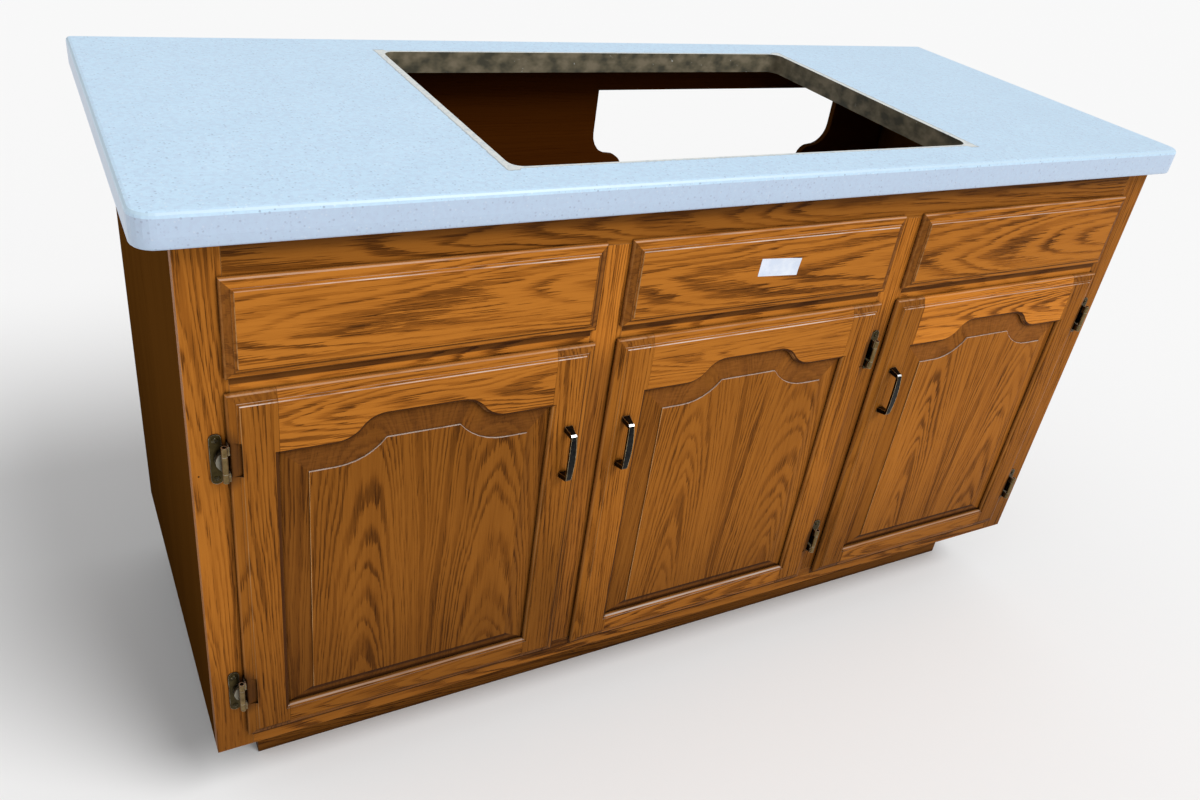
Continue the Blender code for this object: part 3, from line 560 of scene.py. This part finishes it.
# How strong the painted highlight lines along the lip and the left crests are
STILE_LIP = 0.2
STILE_SIDES = {"left": 0.3, "centre": 0.1, "right": 0.1}
RAIL_HIGHLIGHT_LINES = (0.2, 0.3)
DRAWER_HIGHLIGHT_LINES = (0.3, 0.4)

# Painted shadow on the frame's rails, under the lips and the worktop above them: how far below a rail's top it
# starts and is full, and how strong it is
LIP_GLOOM = (0.0157, 0.0137, 0.8)
RAIL_GLOOM = {"frame_top_rail": (0.032, 0.014, 0.6), "frame_bottom_rail": (0.0172, 0.0152, 0.8)}

# Painted shade on the mullions between the doors: the heights where it starts and is full, and how strong it is
MULLION_GLOOM = (0.70, 0.63, 0.45)

# The grain of each kind of board
PANEL_GRAIN = {"shift": (0.078, 0, 0), "heart": 0.055, "lean": 0.085, "board": 0.19, "ring": 0.0046, "ragged": 1.0,
               "figure": PANEL_FIGURE, "ends": 0.7, "end_dim": 1.5}
UPRIGHT_GRAIN = {"shift": (0.03, 0, 0), "heart": 0.03, "lean": 0.03, "ring": 0.0045, "ends": 0.35}
DRAWER_GRAIN = {"shift": (0, 0, 0.1), "heart": 0.06, "lean": 0.05, "ring": 0.0068, "ragged": 1.6,
                "figure": BAND_FIGURE, "ends": 0.75}
DOOR_RAIL_GRAIN = {"shift": (0, 0, 0.1), "heart": 0.04, "lean": 0.045, "ring": 0.0036, "figure": RAIL_FIGURE}
FRAME_RAIL_GRAIN = {"shift": (0, 0, 0.1), "heart": 0.04, "lean": 0.045, "ring": 0.005, "figure": BAND_FIGURE,
                    "corners": 0.45}
SIDE_GRAIN = {"lean": 0.03, "figure": CALM_FIGURE, "foot": SIDE_FOOT}
SEED_STEP = 3.7


def hinge_places(door):
    """Where a door's hinges lie on its edge, as (x, z)."""
    leaves = [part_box(f"{door}_{level}_hinge_door_leaf") for level in LEVELS]
    pins = [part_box(f"{door}_{level}_hinge_pin") for level in LEVELS]
    return [((pin[0].x + pin[1].x) / 2, (leaf[0].z + leaf[1].z) / 2) for leaf, pin in zip(leaves, pins)]


def mullion_middles():
    """Where the mullions' middles lie along x."""
    boxes = [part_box(side + "_mullion") for side in ("left", "right")]
    return [(low.x + high.x) / 2 for low, high in boxes]


def finish_wood():
    """Give each wooden node its own board."""
    seed = 0.0
    for name in sorted(NODES):
        seed += SEED_STEP
        dim = DIMS.get(name, DEFAULT_DIM)
        bay = name.split("_")[0]
        if name.endswith("_door_panel"):
            wood(name, OAK, ALONG_Z, seed, dim=dim, wear_and_shading=raised, **PANEL_GRAIN)
        elif name.endswith(("hinge_stile", "pull_stile")):
            hinges = hinge_places(bay + "_door") if name.endswith("hinge_stile") else ()
            wear_and_shading = moulded(STILE_LIP, STILE_SIDES[bay], TOP_LINE[bay], hinges)
            wood(name, OAK, ALONG_Z, seed, dim=dim, foot=FEET.get(name, FOOT), wear_and_shading=wear_and_shading, **UPRIGHT_GRAIN)
        elif name.endswith("_drawer_front"):
            wood(name, OAK, ALONG_X, seed, dim=dim, wear_and_shading=moulded(*DRAWER_HIGHLIGHT_LINES, TOP_LINE[bay]), **DRAWER_GRAIN)
        elif "_door_" in name and name.endswith("_rail"):
            wear_and_shading = moulded(*RAIL_HIGHLIGHT_LINES, TOP_LINE[bay])
            if name.endswith("_bottom_rail"):
                wear_and_shading = moulded(*RAIL_HIGHLIGHT_LINES, LOW_LINE[bay], crests=LOW_CRESTS, faintest=LOW_FAINTEST)
            wood(name, OAK, ALONG_X, seed, dim=dim, wear_and_shading=wear_and_shading, **DOOR_RAIL_GRAIN)
        elif name.endswith(("_stile", "_mullion")):
            hole = NAIL_HOLE if name == "left_frame_stile" else None
            gloom = MULLION_GLOOM if name.endswith("_mullion") else None
            wood(name, OAK, ALONG_Z, seed, dim=dim, wear_and_shading=squared(hole, gloom), **UPRIGHT_GRAIN)
        elif name.endswith("_rail"):
            start, full, strength = RAIL_GLOOM.get(name, LIP_GLOOM)
            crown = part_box(name)[1].z
            open_at = mullion_middles() if name == "frame_bottom_rail" else ()
            wear_and_shading = squared(gloom=(crown - start, crown - full, strength), open_at=open_at)
            wood(name, OAK, ALONG_X, seed, dim=dim, wear_and_shading=wear_and_shading, **FRAME_RAIL_GRAIN)
        elif name.endswith("_side_panel"):
            wood(name, VENEER, SIDEWAYS_Z, seed, **SIDE_GRAIN)
        elif name == "plinth_front":
            wood(name, OAK, ALONG_X, seed, dim=dim, figure=BAND_FIGURE)
        elif name.startswith("plinth"):
            wood(name, VENEER, ALONG_X, seed, figure=CALM_FIGURE)
        elif name == "floor_panel":
            wood(name, LINING, FLAT_X, seed, figure=CALM_FIGURE)
        elif name == "back_panel" or name.endswith("_cleat"):
            wood(name, LINING, ALONG_X, seed, figure=CALM_FIGURE)


# Worktop: its two blues, its grey mottle, the painted shade on its front and the painted highlight on its arris

BLUES = ((0.50, 0.70, 0.88, 1), (0.57, 0.77, 0.94, 1))
MOTTLE = (0.43, 0.51, 0.68, 1)
FRONT_SHADE = (0.42, 0.48, 0.62, 1)
ARRIS_HIGHLIGHT = (0.47, 0.62, 0.73, 1)
CLOUD_WAVES = (14, 14, 14)
MOTTLE_WAVES = (150, 150, 150)
MOTTLE_EDGE = (0.4, 0.65)
MOTTLE_STRENGTH = 0.30
FRONT_SHADE_STRENGTH = 0.6
ARRIS_HIGHLIGHT_STRENGTH = 0.8

# How far up the worktop's faces look, from its front over its arris to its top
LOOKS_AHEAD = (0.05, 0.25)
ARRIS_START = (0.15, 0.5)
ARRIS_END = (0.9, 0.99)
TOP_FACE = (0.3, 0.8)
LEVEL_FACE = (0.5, 0.8)
CUT_LOOKS = (0.3, 0.5)

# Specks: cells to the metre, the share of cells without one, strength and colour
SPECKS = ((205, 0.72, 0.62, (0.18, 0.22, 0.32, 1)),
          (270, 0.65, 0.45, (0.32, 0.41, 0.56, 1)),
          (235, 0.78, 0.50, (0.86, 0.93, 0.98, 1)))
SPECK_EDGE = (0.16, 0.34)
TOP_SPECKS = 0.65

# Sealant: how far it wanders, how wide its band is at the sides and how much less at the front, where it ends, how
# thick it lies, its colours and its dirty rim
RAGGED_WAVES = (120, 120, 120)
SEALANT_WANDER = 0.004
SEALANT_SIDE = (0.366, 0.37)
SEALANT_WIDTH = 0.0105
SEALANT_LESS = -0.0055
SEALANT_END = (0.9, 1.05)
SEALANT_EDGE = (0.3, 0.55)
SEALANT_THICK = (0.55, 0.95)
SEALANT_COLOURS = ((0.3, (0.36, 0.35, 0.30)), (0.5, (0.66, 0.67, 0.64)))
SEALANT_RIM = (0.17, 0.16, 0.13, 1)
RIM_START = (0.8, 0.98)
RIM_END = (1.0, 1.18)
RIM_STRENGTH = 0.5

# The raw core on the cut faces, with bits of sealant
CUT_FACE = (0.0006, 0.001)
CORE_WAVES = (42, 42, 60)
CORE_COLOURS = ((0.35, (0.065, 0.060, 0.038)), (0.5, (0.15, 0.128, 0.078)), (0.65, (0.24, 0.20, 0.13)))
CORE_BITS = (0.62, 0.62, 0.58, 1)
BITS_EDGE = (0.66, 0.72)

SHEET_ROUGHNESS = (0.3, 0.42)
RAW_ROUGHNESS = 0.8
RAW_BUMP = 0.4
RAW_BUMP_DEPTH = 0.0008


def speckled(tree, place, upright, cloud):
    """The sheet's own colour, with painted shade on its front and a painted highlight on its arris."""
    mottle = noise(tree, place, MOTTLE_WAVES, 4.0, 3.0, 0.6)
    colour = mix(tree, cloud, *BLUES)
    colour = mix(tree, spread(tree, ease(tree, mottle, *MOTTLE_EDGE), 0.0, MOTTLE_STRENGTH), colour, MOTTLE)
    upper = spread(tree, ease(tree, upright, *TOP_FACE), 1.0, TOP_SPECKS)
    for cells, share, strength, speck_colour in SPECKS:
        cell = add(tree, "TexVoronoi", {"Vector": place, "Scale": cells}).outputs
        pick = add(tree, "SeparateColor", {0: cell["Color"]}).outputs["Red"]
        speck = product(tree, calc(tree, "GREATER_THAN", pick, share), fade(tree, cell["Distance"], *SPECK_EDGE))
        colour = mix(tree, product(tree, speck, strength, upper), colour, speck_colour)
    # Painted shade on the front face, which is lit less than the top
    front = fade(tree, upright, *LOOKS_AHEAD)
    colour = mix(tree, product(tree, front, FRONT_SHADE_STRENGTH), colour, FRONT_SHADE)
    # Painted highlight on the rounded arris between the front and the top
    arris = product(tree, ease(tree, upright, *ARRIS_START), fade(tree, upright, *ARRIS_END))
    return mix(tree, product(tree, arris, ARRIS_HIGHLIGHT_STRENGTH), colour, ARRIS_HIGHLIGHT)


def finish_worktop():
    """A speckled sheet, with its raw core on the cut faces and dried sealant round the sink opening."""
    low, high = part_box("countertop")
    material, tree, shader = new_material("speckled_worktop", Coat_Weight=0.15, Coat_Roughness=0.3)
    coordinates = add(tree, "TexCoord").outputs
    place = coordinates["Object"]
    along = parts(tree, place)
    upright = parts(tree, coordinates["Normal"])["Z"]
    cloud = noise(tree, place, CLOUD_WAVES, 1.0, 3.0)
    colour = speckled(tree, place, upright, cloud)

    sideways = calc(tree, "ABSOLUTE", along["X"])
    beyond = calc(tree, "SUBTRACT", sideways, SINK_HALF_WIDTH)
    beyond = calc(tree, "MAXIMUM", beyond, calc(tree, "SUBTRACT", low.y + SINK_FRONT_MARGIN, along["Y"]))
    beyond = calc(tree, "MAXIMUM", beyond, calc(tree, "SUBTRACT", along["Y"], high.y - SINK_BACK_MARGIN))
    ragged = noise(tree, place, RAGGED_WAVES, 7.0, 4.0, 0.65)
    wander = calc(tree, "ADD", beyond, spread(tree, ragged, -SEALANT_WANDER, SEALANT_WANDER))
    level = ease(tree, upright, *LEVEL_FACE)
    reach = calc(tree, "MULTIPLY_ADD", fade(tree, sideways, *SEALANT_SIDE), SEALANT_LESS, SEALANT_WIDTH)
    inside = calc(tree, "DIVIDE", wander, reach)
    thick = spread(tree, ease(tree, ragged, *SEALANT_EDGE), *SEALANT_THICK)
    sealant = product(tree, fade(tree, inside, *SEALANT_END), level, thick)
    colour = mix(tree, sealant, colour, ramp(tree, ragged, SEALANT_COLOURS))
    rim = product(tree, ease(tree, inside, *RIM_START), fade(tree, inside, *RIM_END), level, RIM_STRENGTH)
    colour = mix(tree, rim, colour, SEALANT_RIM)

    raw = product(tree, fade(tree, beyond, *CUT_FACE), fade(tree, upright, *CUT_LOOKS))
    core = ramp(tree, noise(tree, place, CORE_WAVES, 9.0), CORE_COLOURS)
    core = mix(tree, ease(tree, ragged, *BITS_EDGE), core, CORE_BITS)
    colour = mix(tree, raw, colour, core)
    tree.links.new(colour, shader.inputs["Base Color"])
    rough = product(tree, calc(tree, "MAXIMUM", raw, sealant), RAW_ROUGHNESS)
    rough = calc(tree, "MAXIMUM", spread(tree, cloud, *SHEET_ROUGHNESS), rough)
    tree.links.new(rough, shader.inputs["Roughness"])
    height = calc(tree, "MULTIPLY_ADD", sealant, ragged, product(tree, raw, ragged))
    bumped(tree, shader, height, RAW_BUMP, RAW_BUMP_DEPTH)
    dress("countertop", material)
    return material


# Metal: the hinges' colours, and how far a leaf's screws, boss and barrel stand proud of its plate's back

PLATE_COLOURS = ((0.3, (0.030, 0.022, 0.008)), (0.7, (0.075, 0.055, 0.020)))
BRASS_COLOURS = ((0.3, (0.110, 0.072, 0.026)), (0.7, (0.24, 0.165, 0.070)))
# A lighter boss: rubbing and a painted highlight
BOSS_RUBBED_HIGHLIGHT = (0.33, 0.31, 0.25, 1)
BRIGHT_BRASS = (0.62, 0.57, 0.46, 1)
HEADS_START = (0.00125, 0.0015)
HEADS_END = (0.0027, 0.0031)
BOSS_START = (0.0028, 0.0036)
BOSS_END = (0.0085, 0.0095)
BARREL_START = (0.0095, 0.0105)
BOSS_STRENGTH = 0.7
RIM_LOOKS = (0.6, 0.9)
BRASS_WAVES = (140, 140, 140)
BRASS_ROUGHNESS = (0.28, 0.5)

# Rubbed edges of the hinges, which show less on the screw heads, and the painted shade in their corners
HINGE_EDGE = 0.0007
HINGE_PATCHES = (0.35, 0.6)
HINGE_RUBBED = (0.4, 1.0)
HEADS_RUBBED = 0.3
HINGE_CORNER = 0.012
HINGE_CORNER_EDGE = (0.35, 0.75)
HINGE_CORNER_LIGHT = 0.06

# The handles' colours, where they are rubbed, and which faces are their upper bend, which gets a painted silver
# highlight
BLACK_COLOURS = ((0.3, (0.007, 0.007, 0.007)), (0.7, (0.024, 0.025, 0.024)))
HANDLE_BRASS = (0.74, 0.61, 0.36, 1)
HANDLE_SILVER_HIGHLIGHT = (0.52, 0.52, 0.52, 1)
HANDLE_EDGE = 0.0013
HANDLE_PATCHES = (0.3, 0.6)
HANDLE_RUBBED = (0.5, 1.0)
BEND_UP = (0.28, 0.5)
BEND_AHEAD = (-0.5, -0.25)
BLACK_WAVES = (160, 160, 160)
BLACK_ROUGHNESS = (0.2, 0.42)

# The hinge pins' colour
STEEL = (0.018, 0.016, 0.014, 1)


def aged_brass():
    """Hinge metal: dark plates, brass where it stands proud of them, and bright rubbed edges, with painted
    highlights on the boss and the barrel's top and painted shade in corners.
    """
    plate_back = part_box("left_door_upper_hinge_frame_leaf")[1].y
    material, tree, shader = new_material("aged_brass", Metallic=1.0)
    coordinates = add(tree, "TexCoord").outputs
    place = coordinates["Object"]
    patches = noise(tree, place, BRASS_WAVES, 2.0, 4.0, 0.6)
    proud = calc(tree, "SUBTRACT", plate_back, parts(tree, place)["Y"])
    upright = parts(tree, coordinates["Normal"])["Z"]
    barrel = ease(tree, proud, *BARREL_START)
    colour = mix(tree, barrel, ramp(tree, patches, PLATE_COLOURS), ramp(tree, patches, BRASS_COLOURS))
    # Painted highlight on the boss, as well as rubbing
    boss = product(tree, ease(tree, proud, *BOSS_START), fade(tree, proud, *BOSS_END), BOSS_STRENGTH)
    colour = mix(tree, boss, colour, BOSS_RUBBED_HIGHLIGHT)
    worn = spread(tree, ease(tree, patches, *HINGE_PATCHES), *HINGE_RUBBED)
    heads = product(tree, ease(tree, proud, *HEADS_START), fade(tree, proud, *HEADS_END))
    rubbed = product(tree, arrises(tree, HINGE_EDGE), worn, spread(tree, heads, 1.0, HEADS_RUBBED))
    # Painted highlight on the barrel's top, which also escapes the painted shade in corners
    rim = product(tree, barrel, ease(tree, upright, *RIM_LOOKS))
    colour = mix(tree, calc(tree, "MAXIMUM", rubbed, rim), colour, BRIGHT_BRASS)
    # Painted shade in corners, by ambient occlusion
    light = ease(tree, openness(tree, HINGE_CORNER), *HINGE_CORNER_EDGE)
    light = calc(tree, "MAXIMUM", spread(tree, light, HINGE_CORNER_LIGHT, 1.0), rim)
    tree.links.new(mix(tree, 1.0, colour, light, "MULTIPLY"), shader.inputs["Base Color"])
    tree.links.new(spread(tree, patches, *BRASS_ROUGHNESS), shader.inputs["Roughness"])
    return material


def black_metal():
    """Handle metal: black, with a painted silver highlight on the upper bend, broken by rubbing, and rubbed to
    brass along the edges.
    """
    material, tree, shader = new_material("black_metal", Metallic=1.0)
    coordinates = add(tree, "TexCoord").outputs
    patches = noise(tree, coordinates["Object"], BLACK_WAVES, 5.0, 4.0, 0.6)
    facing = parts(tree, coordinates["Normal"])
    worn = spread(tree, ease(tree, patches, *HANDLE_PATCHES), *HANDLE_RUBBED)
    colour = ramp(tree, patches, BLACK_COLOURS)
    colour = mix(tree, product(tree, arrises(tree, HANDLE_EDGE), worn), colour, HANDLE_BRASS)
    # Painted silver highlight on the upper bend, broken by rubbing
    bend = product(tree, ease(tree, facing["Z"], *BEND_UP), fade(tree, facing["Y"], *BEND_AHEAD))
    colour = mix(tree, product(tree, bend, worn), colour, HANDLE_SILVER_HIGHLIGHT)
    tree.links.new(colour, shader.inputs["Base Color"])
    tree.links.new(spread(tree, patches, *BLACK_ROUGHNESS), shader.inputs["Roughness"])
    return material


def dark_steel():
    """Hinge pins, dark with oil."""
    return new_material("dark_steel", Metallic=1.0, Roughness=0.5, Base_Color=STEEL)[0]


# Pieces that only the scene has

def new_piece(name, bm, body, material):
    """Make a mesh object that rides on a body, with the given material."""
    bmesh.ops.recalc_face_normals(bm, faces=bm.faces)
    mesh = bpy.data.meshes.new(name)
    bm.to_mesh(mesh)
    bm.free()
    mesh.materials.append(material)
    mesh.shade_smooth()
    mesh.set_sharp_from_angle(angle=SHARP_ANGLE)
    piece = bpy.data.objects.new(name, mesh)
    bpy.context.scene.collection.objects.link(piece)
    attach(piece, body)


def add_drop_edge(material):
    """A strip under the worktop's front and ends, flush with their faces, which deepens the edge."""
    low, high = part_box("countertop")
    quarter = math.pi / 2
    section = [(SEATED, WORKTOP_ARRIS)]
    for step in range(DROP_ROUND_STEPS + 1):
        angle = quarter * step / DROP_ROUND_STEPS
        section.append((SEATED + DROP_ROUND * (1 - math.cos(angle)), DROP_ROUND * (1 - math.sin(angle)) - DROP))
    section += [(DROP_WIDTH, -DROP), (DROP_WIDTH, WORKTOP_ARRIS)]
    bm = bmesh.new()
    rows = []
    for inset, rise in section:
        reach = WORKTOP_CORNER - inset
        path = [(low.x + inset, high.y - SEATED)]
        for middle, start in ((low.x + WORKTOP_CORNER, 2 * quarter), (high.x - WORKTOP_CORNER, 3 * quarter)):
            for step in range(CORNER_STEPS + 1):
                angle = start + quarter * step / CORNER_STEPS
                path.append((middle + reach * math.cos(angle), low.y + WORKTOP_CORNER + reach * math.sin(angle)))
        path.append((high.x - inset, high.y - SEATED))
        rows.append([bm.verts.new((x, y, low.z + rise)) for x, y in path])
    for near, far in zip(rows, rows[1:] + rows[:1]):
        for index in range(len(near) - 1):
            bm.faces.new((near[index], near[index + 1], far[index + 1], far[index]))
    for end in (0, -1):
        bm.faces.new([row[end] for row in rows])
    new_piece("worktop_drop_edge", bm, "cabinet", material)


# Screw heads: each ring's share of the radius and of the height, and the cross recess in the innermost rings
SCREW_SIDES = 24
SCREW_RINGS = ((1.0, -0.1), (1.0, 0.25), (0.86, 0.68), (0.58, 0.92), (0.28, 1.0))
RECESS_RINGS = 2
RECESS_ARMS = 4
RECESS_DEPTH = 0.75

# Radius and height of the hinges' and the handles' screw heads, and how the screws' turns follow one another
HINGE_SCREW = (0.0036, 0.0014)
HANDLE_SCREW = (0.0042, 0.0022)
FIRST_TURN = 0.3
NEXT_TURN = 0.7


def add_screw(bm, place, out, radius, height, turn):
    """An oval screw head with a cross recess, on a point of a face that looks along y."""
    rings = []
    for index, (reach, rise) in enumerate(SCREW_RINGS):
        ring = []
        for side in range(SCREW_SIDES):
            angle = 2 * math.pi * side / SCREW_SIDES
            sunk = index >= len(SCREW_RINGS) - RECESS_RINGS and side % (SCREW_SIDES // RECESS_ARMS) == 0
            level = height * (rise - RECESS_DEPTH if sunk else rise)
            flat = Vector((math.cos(angle + turn), 0, math.sin(angle + turn))) * radius * reach
            ring.append(bm.verts.new(place + flat + Vector((0, out * level, 0))))
        rings.append(ring)
    middle = bm.verts.new(place + Vector((0, out * height * (1 - RECESS_DEPTH), 0)))
    for near, far in zip(rings, rings[1:]):
        for side in range(SCREW_SIDES):
            after = (side + 1) % SCREW_SIDES
            bm.faces.new((near[side], near[after], far[after], far[side]))
    for side in range(SCREW_SIDES):
        bm.faces.new((rings[-1][side], rings[-1][(side + 1) % SCREW_SIDES], middle))
    bm.faces.new(rings[0])


def add_fixings(brass):
    """Screws through both leaves of each hinge, and through each door into its handle."""
    turn = FIRST_TURN

    def screw_pair(name, body, x, y, box, rise, out, size):
        """Two screws, above and below the middle of a box."""
        nonlocal turn
        bm = bmesh.new()
        for offset in (-rise, rise):
            turn += NEXT_TURN
            add_screw(bm, Vector((x, y, (box[0].z + box[1].z) / 2 + offset)), out, *size, turn)
        new_piece(name, bm, body, brass)

    for bay in BAYS:
        door = bay + "_door"
        hung_left = bay == "left"
        for level in LEVELS:
            hinge = f"{door}_{level}_hinge_"
            low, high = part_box(hinge + "frame_leaf")
            x = low.x + PLATE_MIDDLE if hung_left else high.x - PLATE_MIDDLE
            screw_pair(hinge + "frame_screws", "cabinet", x, high.y - LEAF_THICKNESS + SEATED, (low, high),
                       PLATE_SCREW_HEIGHT, -1, HINGE_SCREW)
            low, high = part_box(hinge + "door_leaf")
            x = high.x - LEAF_SCREW_INSET if hung_left else low.x + LEAF_SCREW_INSET
            screw_pair(hinge + "door_screws", door, x, high.y - SEATED, (low, high), LEAF_SCREW_HEIGHT, 1, HINGE_SCREW)
        low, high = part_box(door + "_handle")
        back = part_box(door + "_pull_stile")[1].y
        screw_pair(door + "_handle_screws", door, (low.x + high.x) / 2, back - SEATED, (low, high),
                   HANDLE_SCREW_HEIGHT, 1, HANDLE_SCREW)


def finish_metal():
    """Dress the hinges and the handles, and add their screws."""
    brass = aged_brass()
    black = black_metal()
    steel = dark_steel()
    for name in NODES:
        if name.endswith("_hinge_pin"):
            dress(name, steel)
        elif "hinge_" in name and not name.endswith("_stile"):
            dress(name, brass)
        elif name.endswith("_handle"):
            dress(name, black)
    add_fixings(brass)


# Label paper: its colours, its smudges and its fibres
PAPER_COLOURS = ((0.66, 0.73, 0.86, 1), (0.80, 0.85, 0.93, 1))
PAPER_FIBRE = (0.52, 0.57, 0.68, 1)
SMUDGE_WAVES = (45, 45, 45)
SMUDGE_EDGE = (0.35, 0.7)
FIBRE_WAVES = (900, 900, 900)
FIBRE_STRENGTH = 0.2
FIBRE_BUMP = 0.15
FIBRE_BUMP_DEPTH = 0.0002


def paper():
    """Plain label paper, smudged and fibrous."""
    material, tree, shader = new_material("label_paper", Roughness=0.75, Specular_IOR_Level=0.2)
    place = add(tree, "TexCoord").outputs["Object"]
    smudge = noise(tree, place, SMUDGE_WAVES, 3.0, 3.0, 0.6)
    fibre = noise(tree, place, FIBRE_WAVES, 6.0)
    colour = mix(tree, ease(tree, smudge, *SMUDGE_EDGE), *PAPER_COLOURS)
    colour = mix(tree, spread(tree, fibre, 0.0, FIBRE_STRENGTH), colour, PAPER_FIBRE)
    tree.links.new(colour, shader.inputs["Base Color"])
    bumped(tree, shader, fibre, FIBRE_BUMP, FIBRE_BUMP_DEPTH)
    return material


def add_label():
    """A blank paper label, whose upper right corner has come unstuck."""
    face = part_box("centre_drawer_front")[0].y
    across, down = LABEL_STEPS
    turn = Matrix.Rotation(LABEL_TURN, 2)
    bm = bmesh.new()
    sheets = []
    for depth in (0.0, LABEL_THICKNESS):
        grid = []
        for row in range(down + 1):
            line = []
            for column in range(across + 1):
                right, up = column / across, row / down
                lift = LABEL_LIFT * max(0.0, right + up * LIFT_SLANT - LIFT_START) / LIFT_LENGTH
                flat = turn @ Vector(((right - 0.5) * LABEL_SIZE[0], (up - 0.5) * LABEL_SIZE[1]))
                line.append(bm.verts.new((LABEL_PLACE[0] + flat.x, face - depth - lift + SEATED / 2,
                                          LABEL_PLACE[1] + flat.y)))
            grid.append(line)
        sheets.append(grid)
    for grid in sheets:
        for row in range(down):
            for column in range(across):
                bm.faces.new((grid[row][column], grid[row][column + 1], grid[row + 1][column + 1],
                              grid[row + 1][column]))
    near, far = (grid[0] + [line[-1] for line in grid[1:]] + grid[-1][-2::-1] + [line[0] for line in grid[-2:0:-1]]
                 for grid in sheets)
    for index in range(len(near)):
        after = (index + 1) % len(near)
        bm.faces.new((near[index], near[after], far[after], far[index]))
    new_piece("blank_label", bm, "cabinet", paper())


finish_wood()
add_drop_edge(finish_worktop())
finish_metal()
add_label()


# Floor, light and camera

FLOOR_RADIUS = 40
FLOOR_SIDES = 96
FLOOR_COLOUR = (0.86, 0.86, 0.86, 1)
SKY_COLOUR = (1.0, 1.0, 1.0, 1)
SKY_STRENGTH = 0.55
SUN_STRENGTH = 2.2
SUN_ANGLE = math.radians(32)
SUN_DIRECTION = Vector((-0.55, 0.75, -1.15))


def make_stage():
    bm = bmesh.new()
    bmesh.ops.create_circle(bm, cap_ends=True, segments=FLOOR_SIDES, radius=FLOOR_RADIUS)
    mesh = bpy.data.meshes.new("floor")
    bm.to_mesh(mesh)
    bm.free()
    floor = bpy.data.objects.new("floor", mesh)
    bpy.context.scene.collection.objects.link(floor)
    pale = new_material("pale_floor", Roughness=0.9, Specular_IOR_Level=0.0, Base_Color=FLOOR_COLOUR)[0]
    mesh.materials.append(pale)


def make_light():
    world = bpy.data.worlds.new("studio")
    world.use_nodes = True
    backdrop = world.node_tree.nodes["Background"]
    backdrop.inputs["Color"].default_value = SKY_COLOUR
    backdrop.inputs["Strength"].default_value = SKY_STRENGTH
    bpy.context.scene.world = world
    data = bpy.data.lights.new("soft_key", "SUN")
    data.energy = SUN_STRENGTH
    data.angle = SUN_ANGLE
    lamp = bpy.data.objects.new("soft_key", data)
    lamp.rotation_euler = SUN_DIRECTION.to_track_quat("-Z", "Y").to_euler()
    bpy.context.scene.collection.objects.link(lamp)


def make_camera():
    data = bpy.data.cameras.new("camera")
    data.lens = LENS
    data.sensor_width = SENSOR_WIDTH
    camera = bpy.data.objects.new("camera", data)
    axes = Matrix((CAMERA_RIGHT, -CAMERA_DOWN, -CAMERA_AHEAD)).transposed()
    camera.matrix_world = Matrix.Translation(CAMERA_PLACE) @ axes.to_4x4()
    bpy.context.scene.collection.objects.link(camera)
    bpy.context.scene.camera = camera


make_stage()
make_light()
make_camera()
bpy.context.scene.view_settings.view_transform = "Standard"
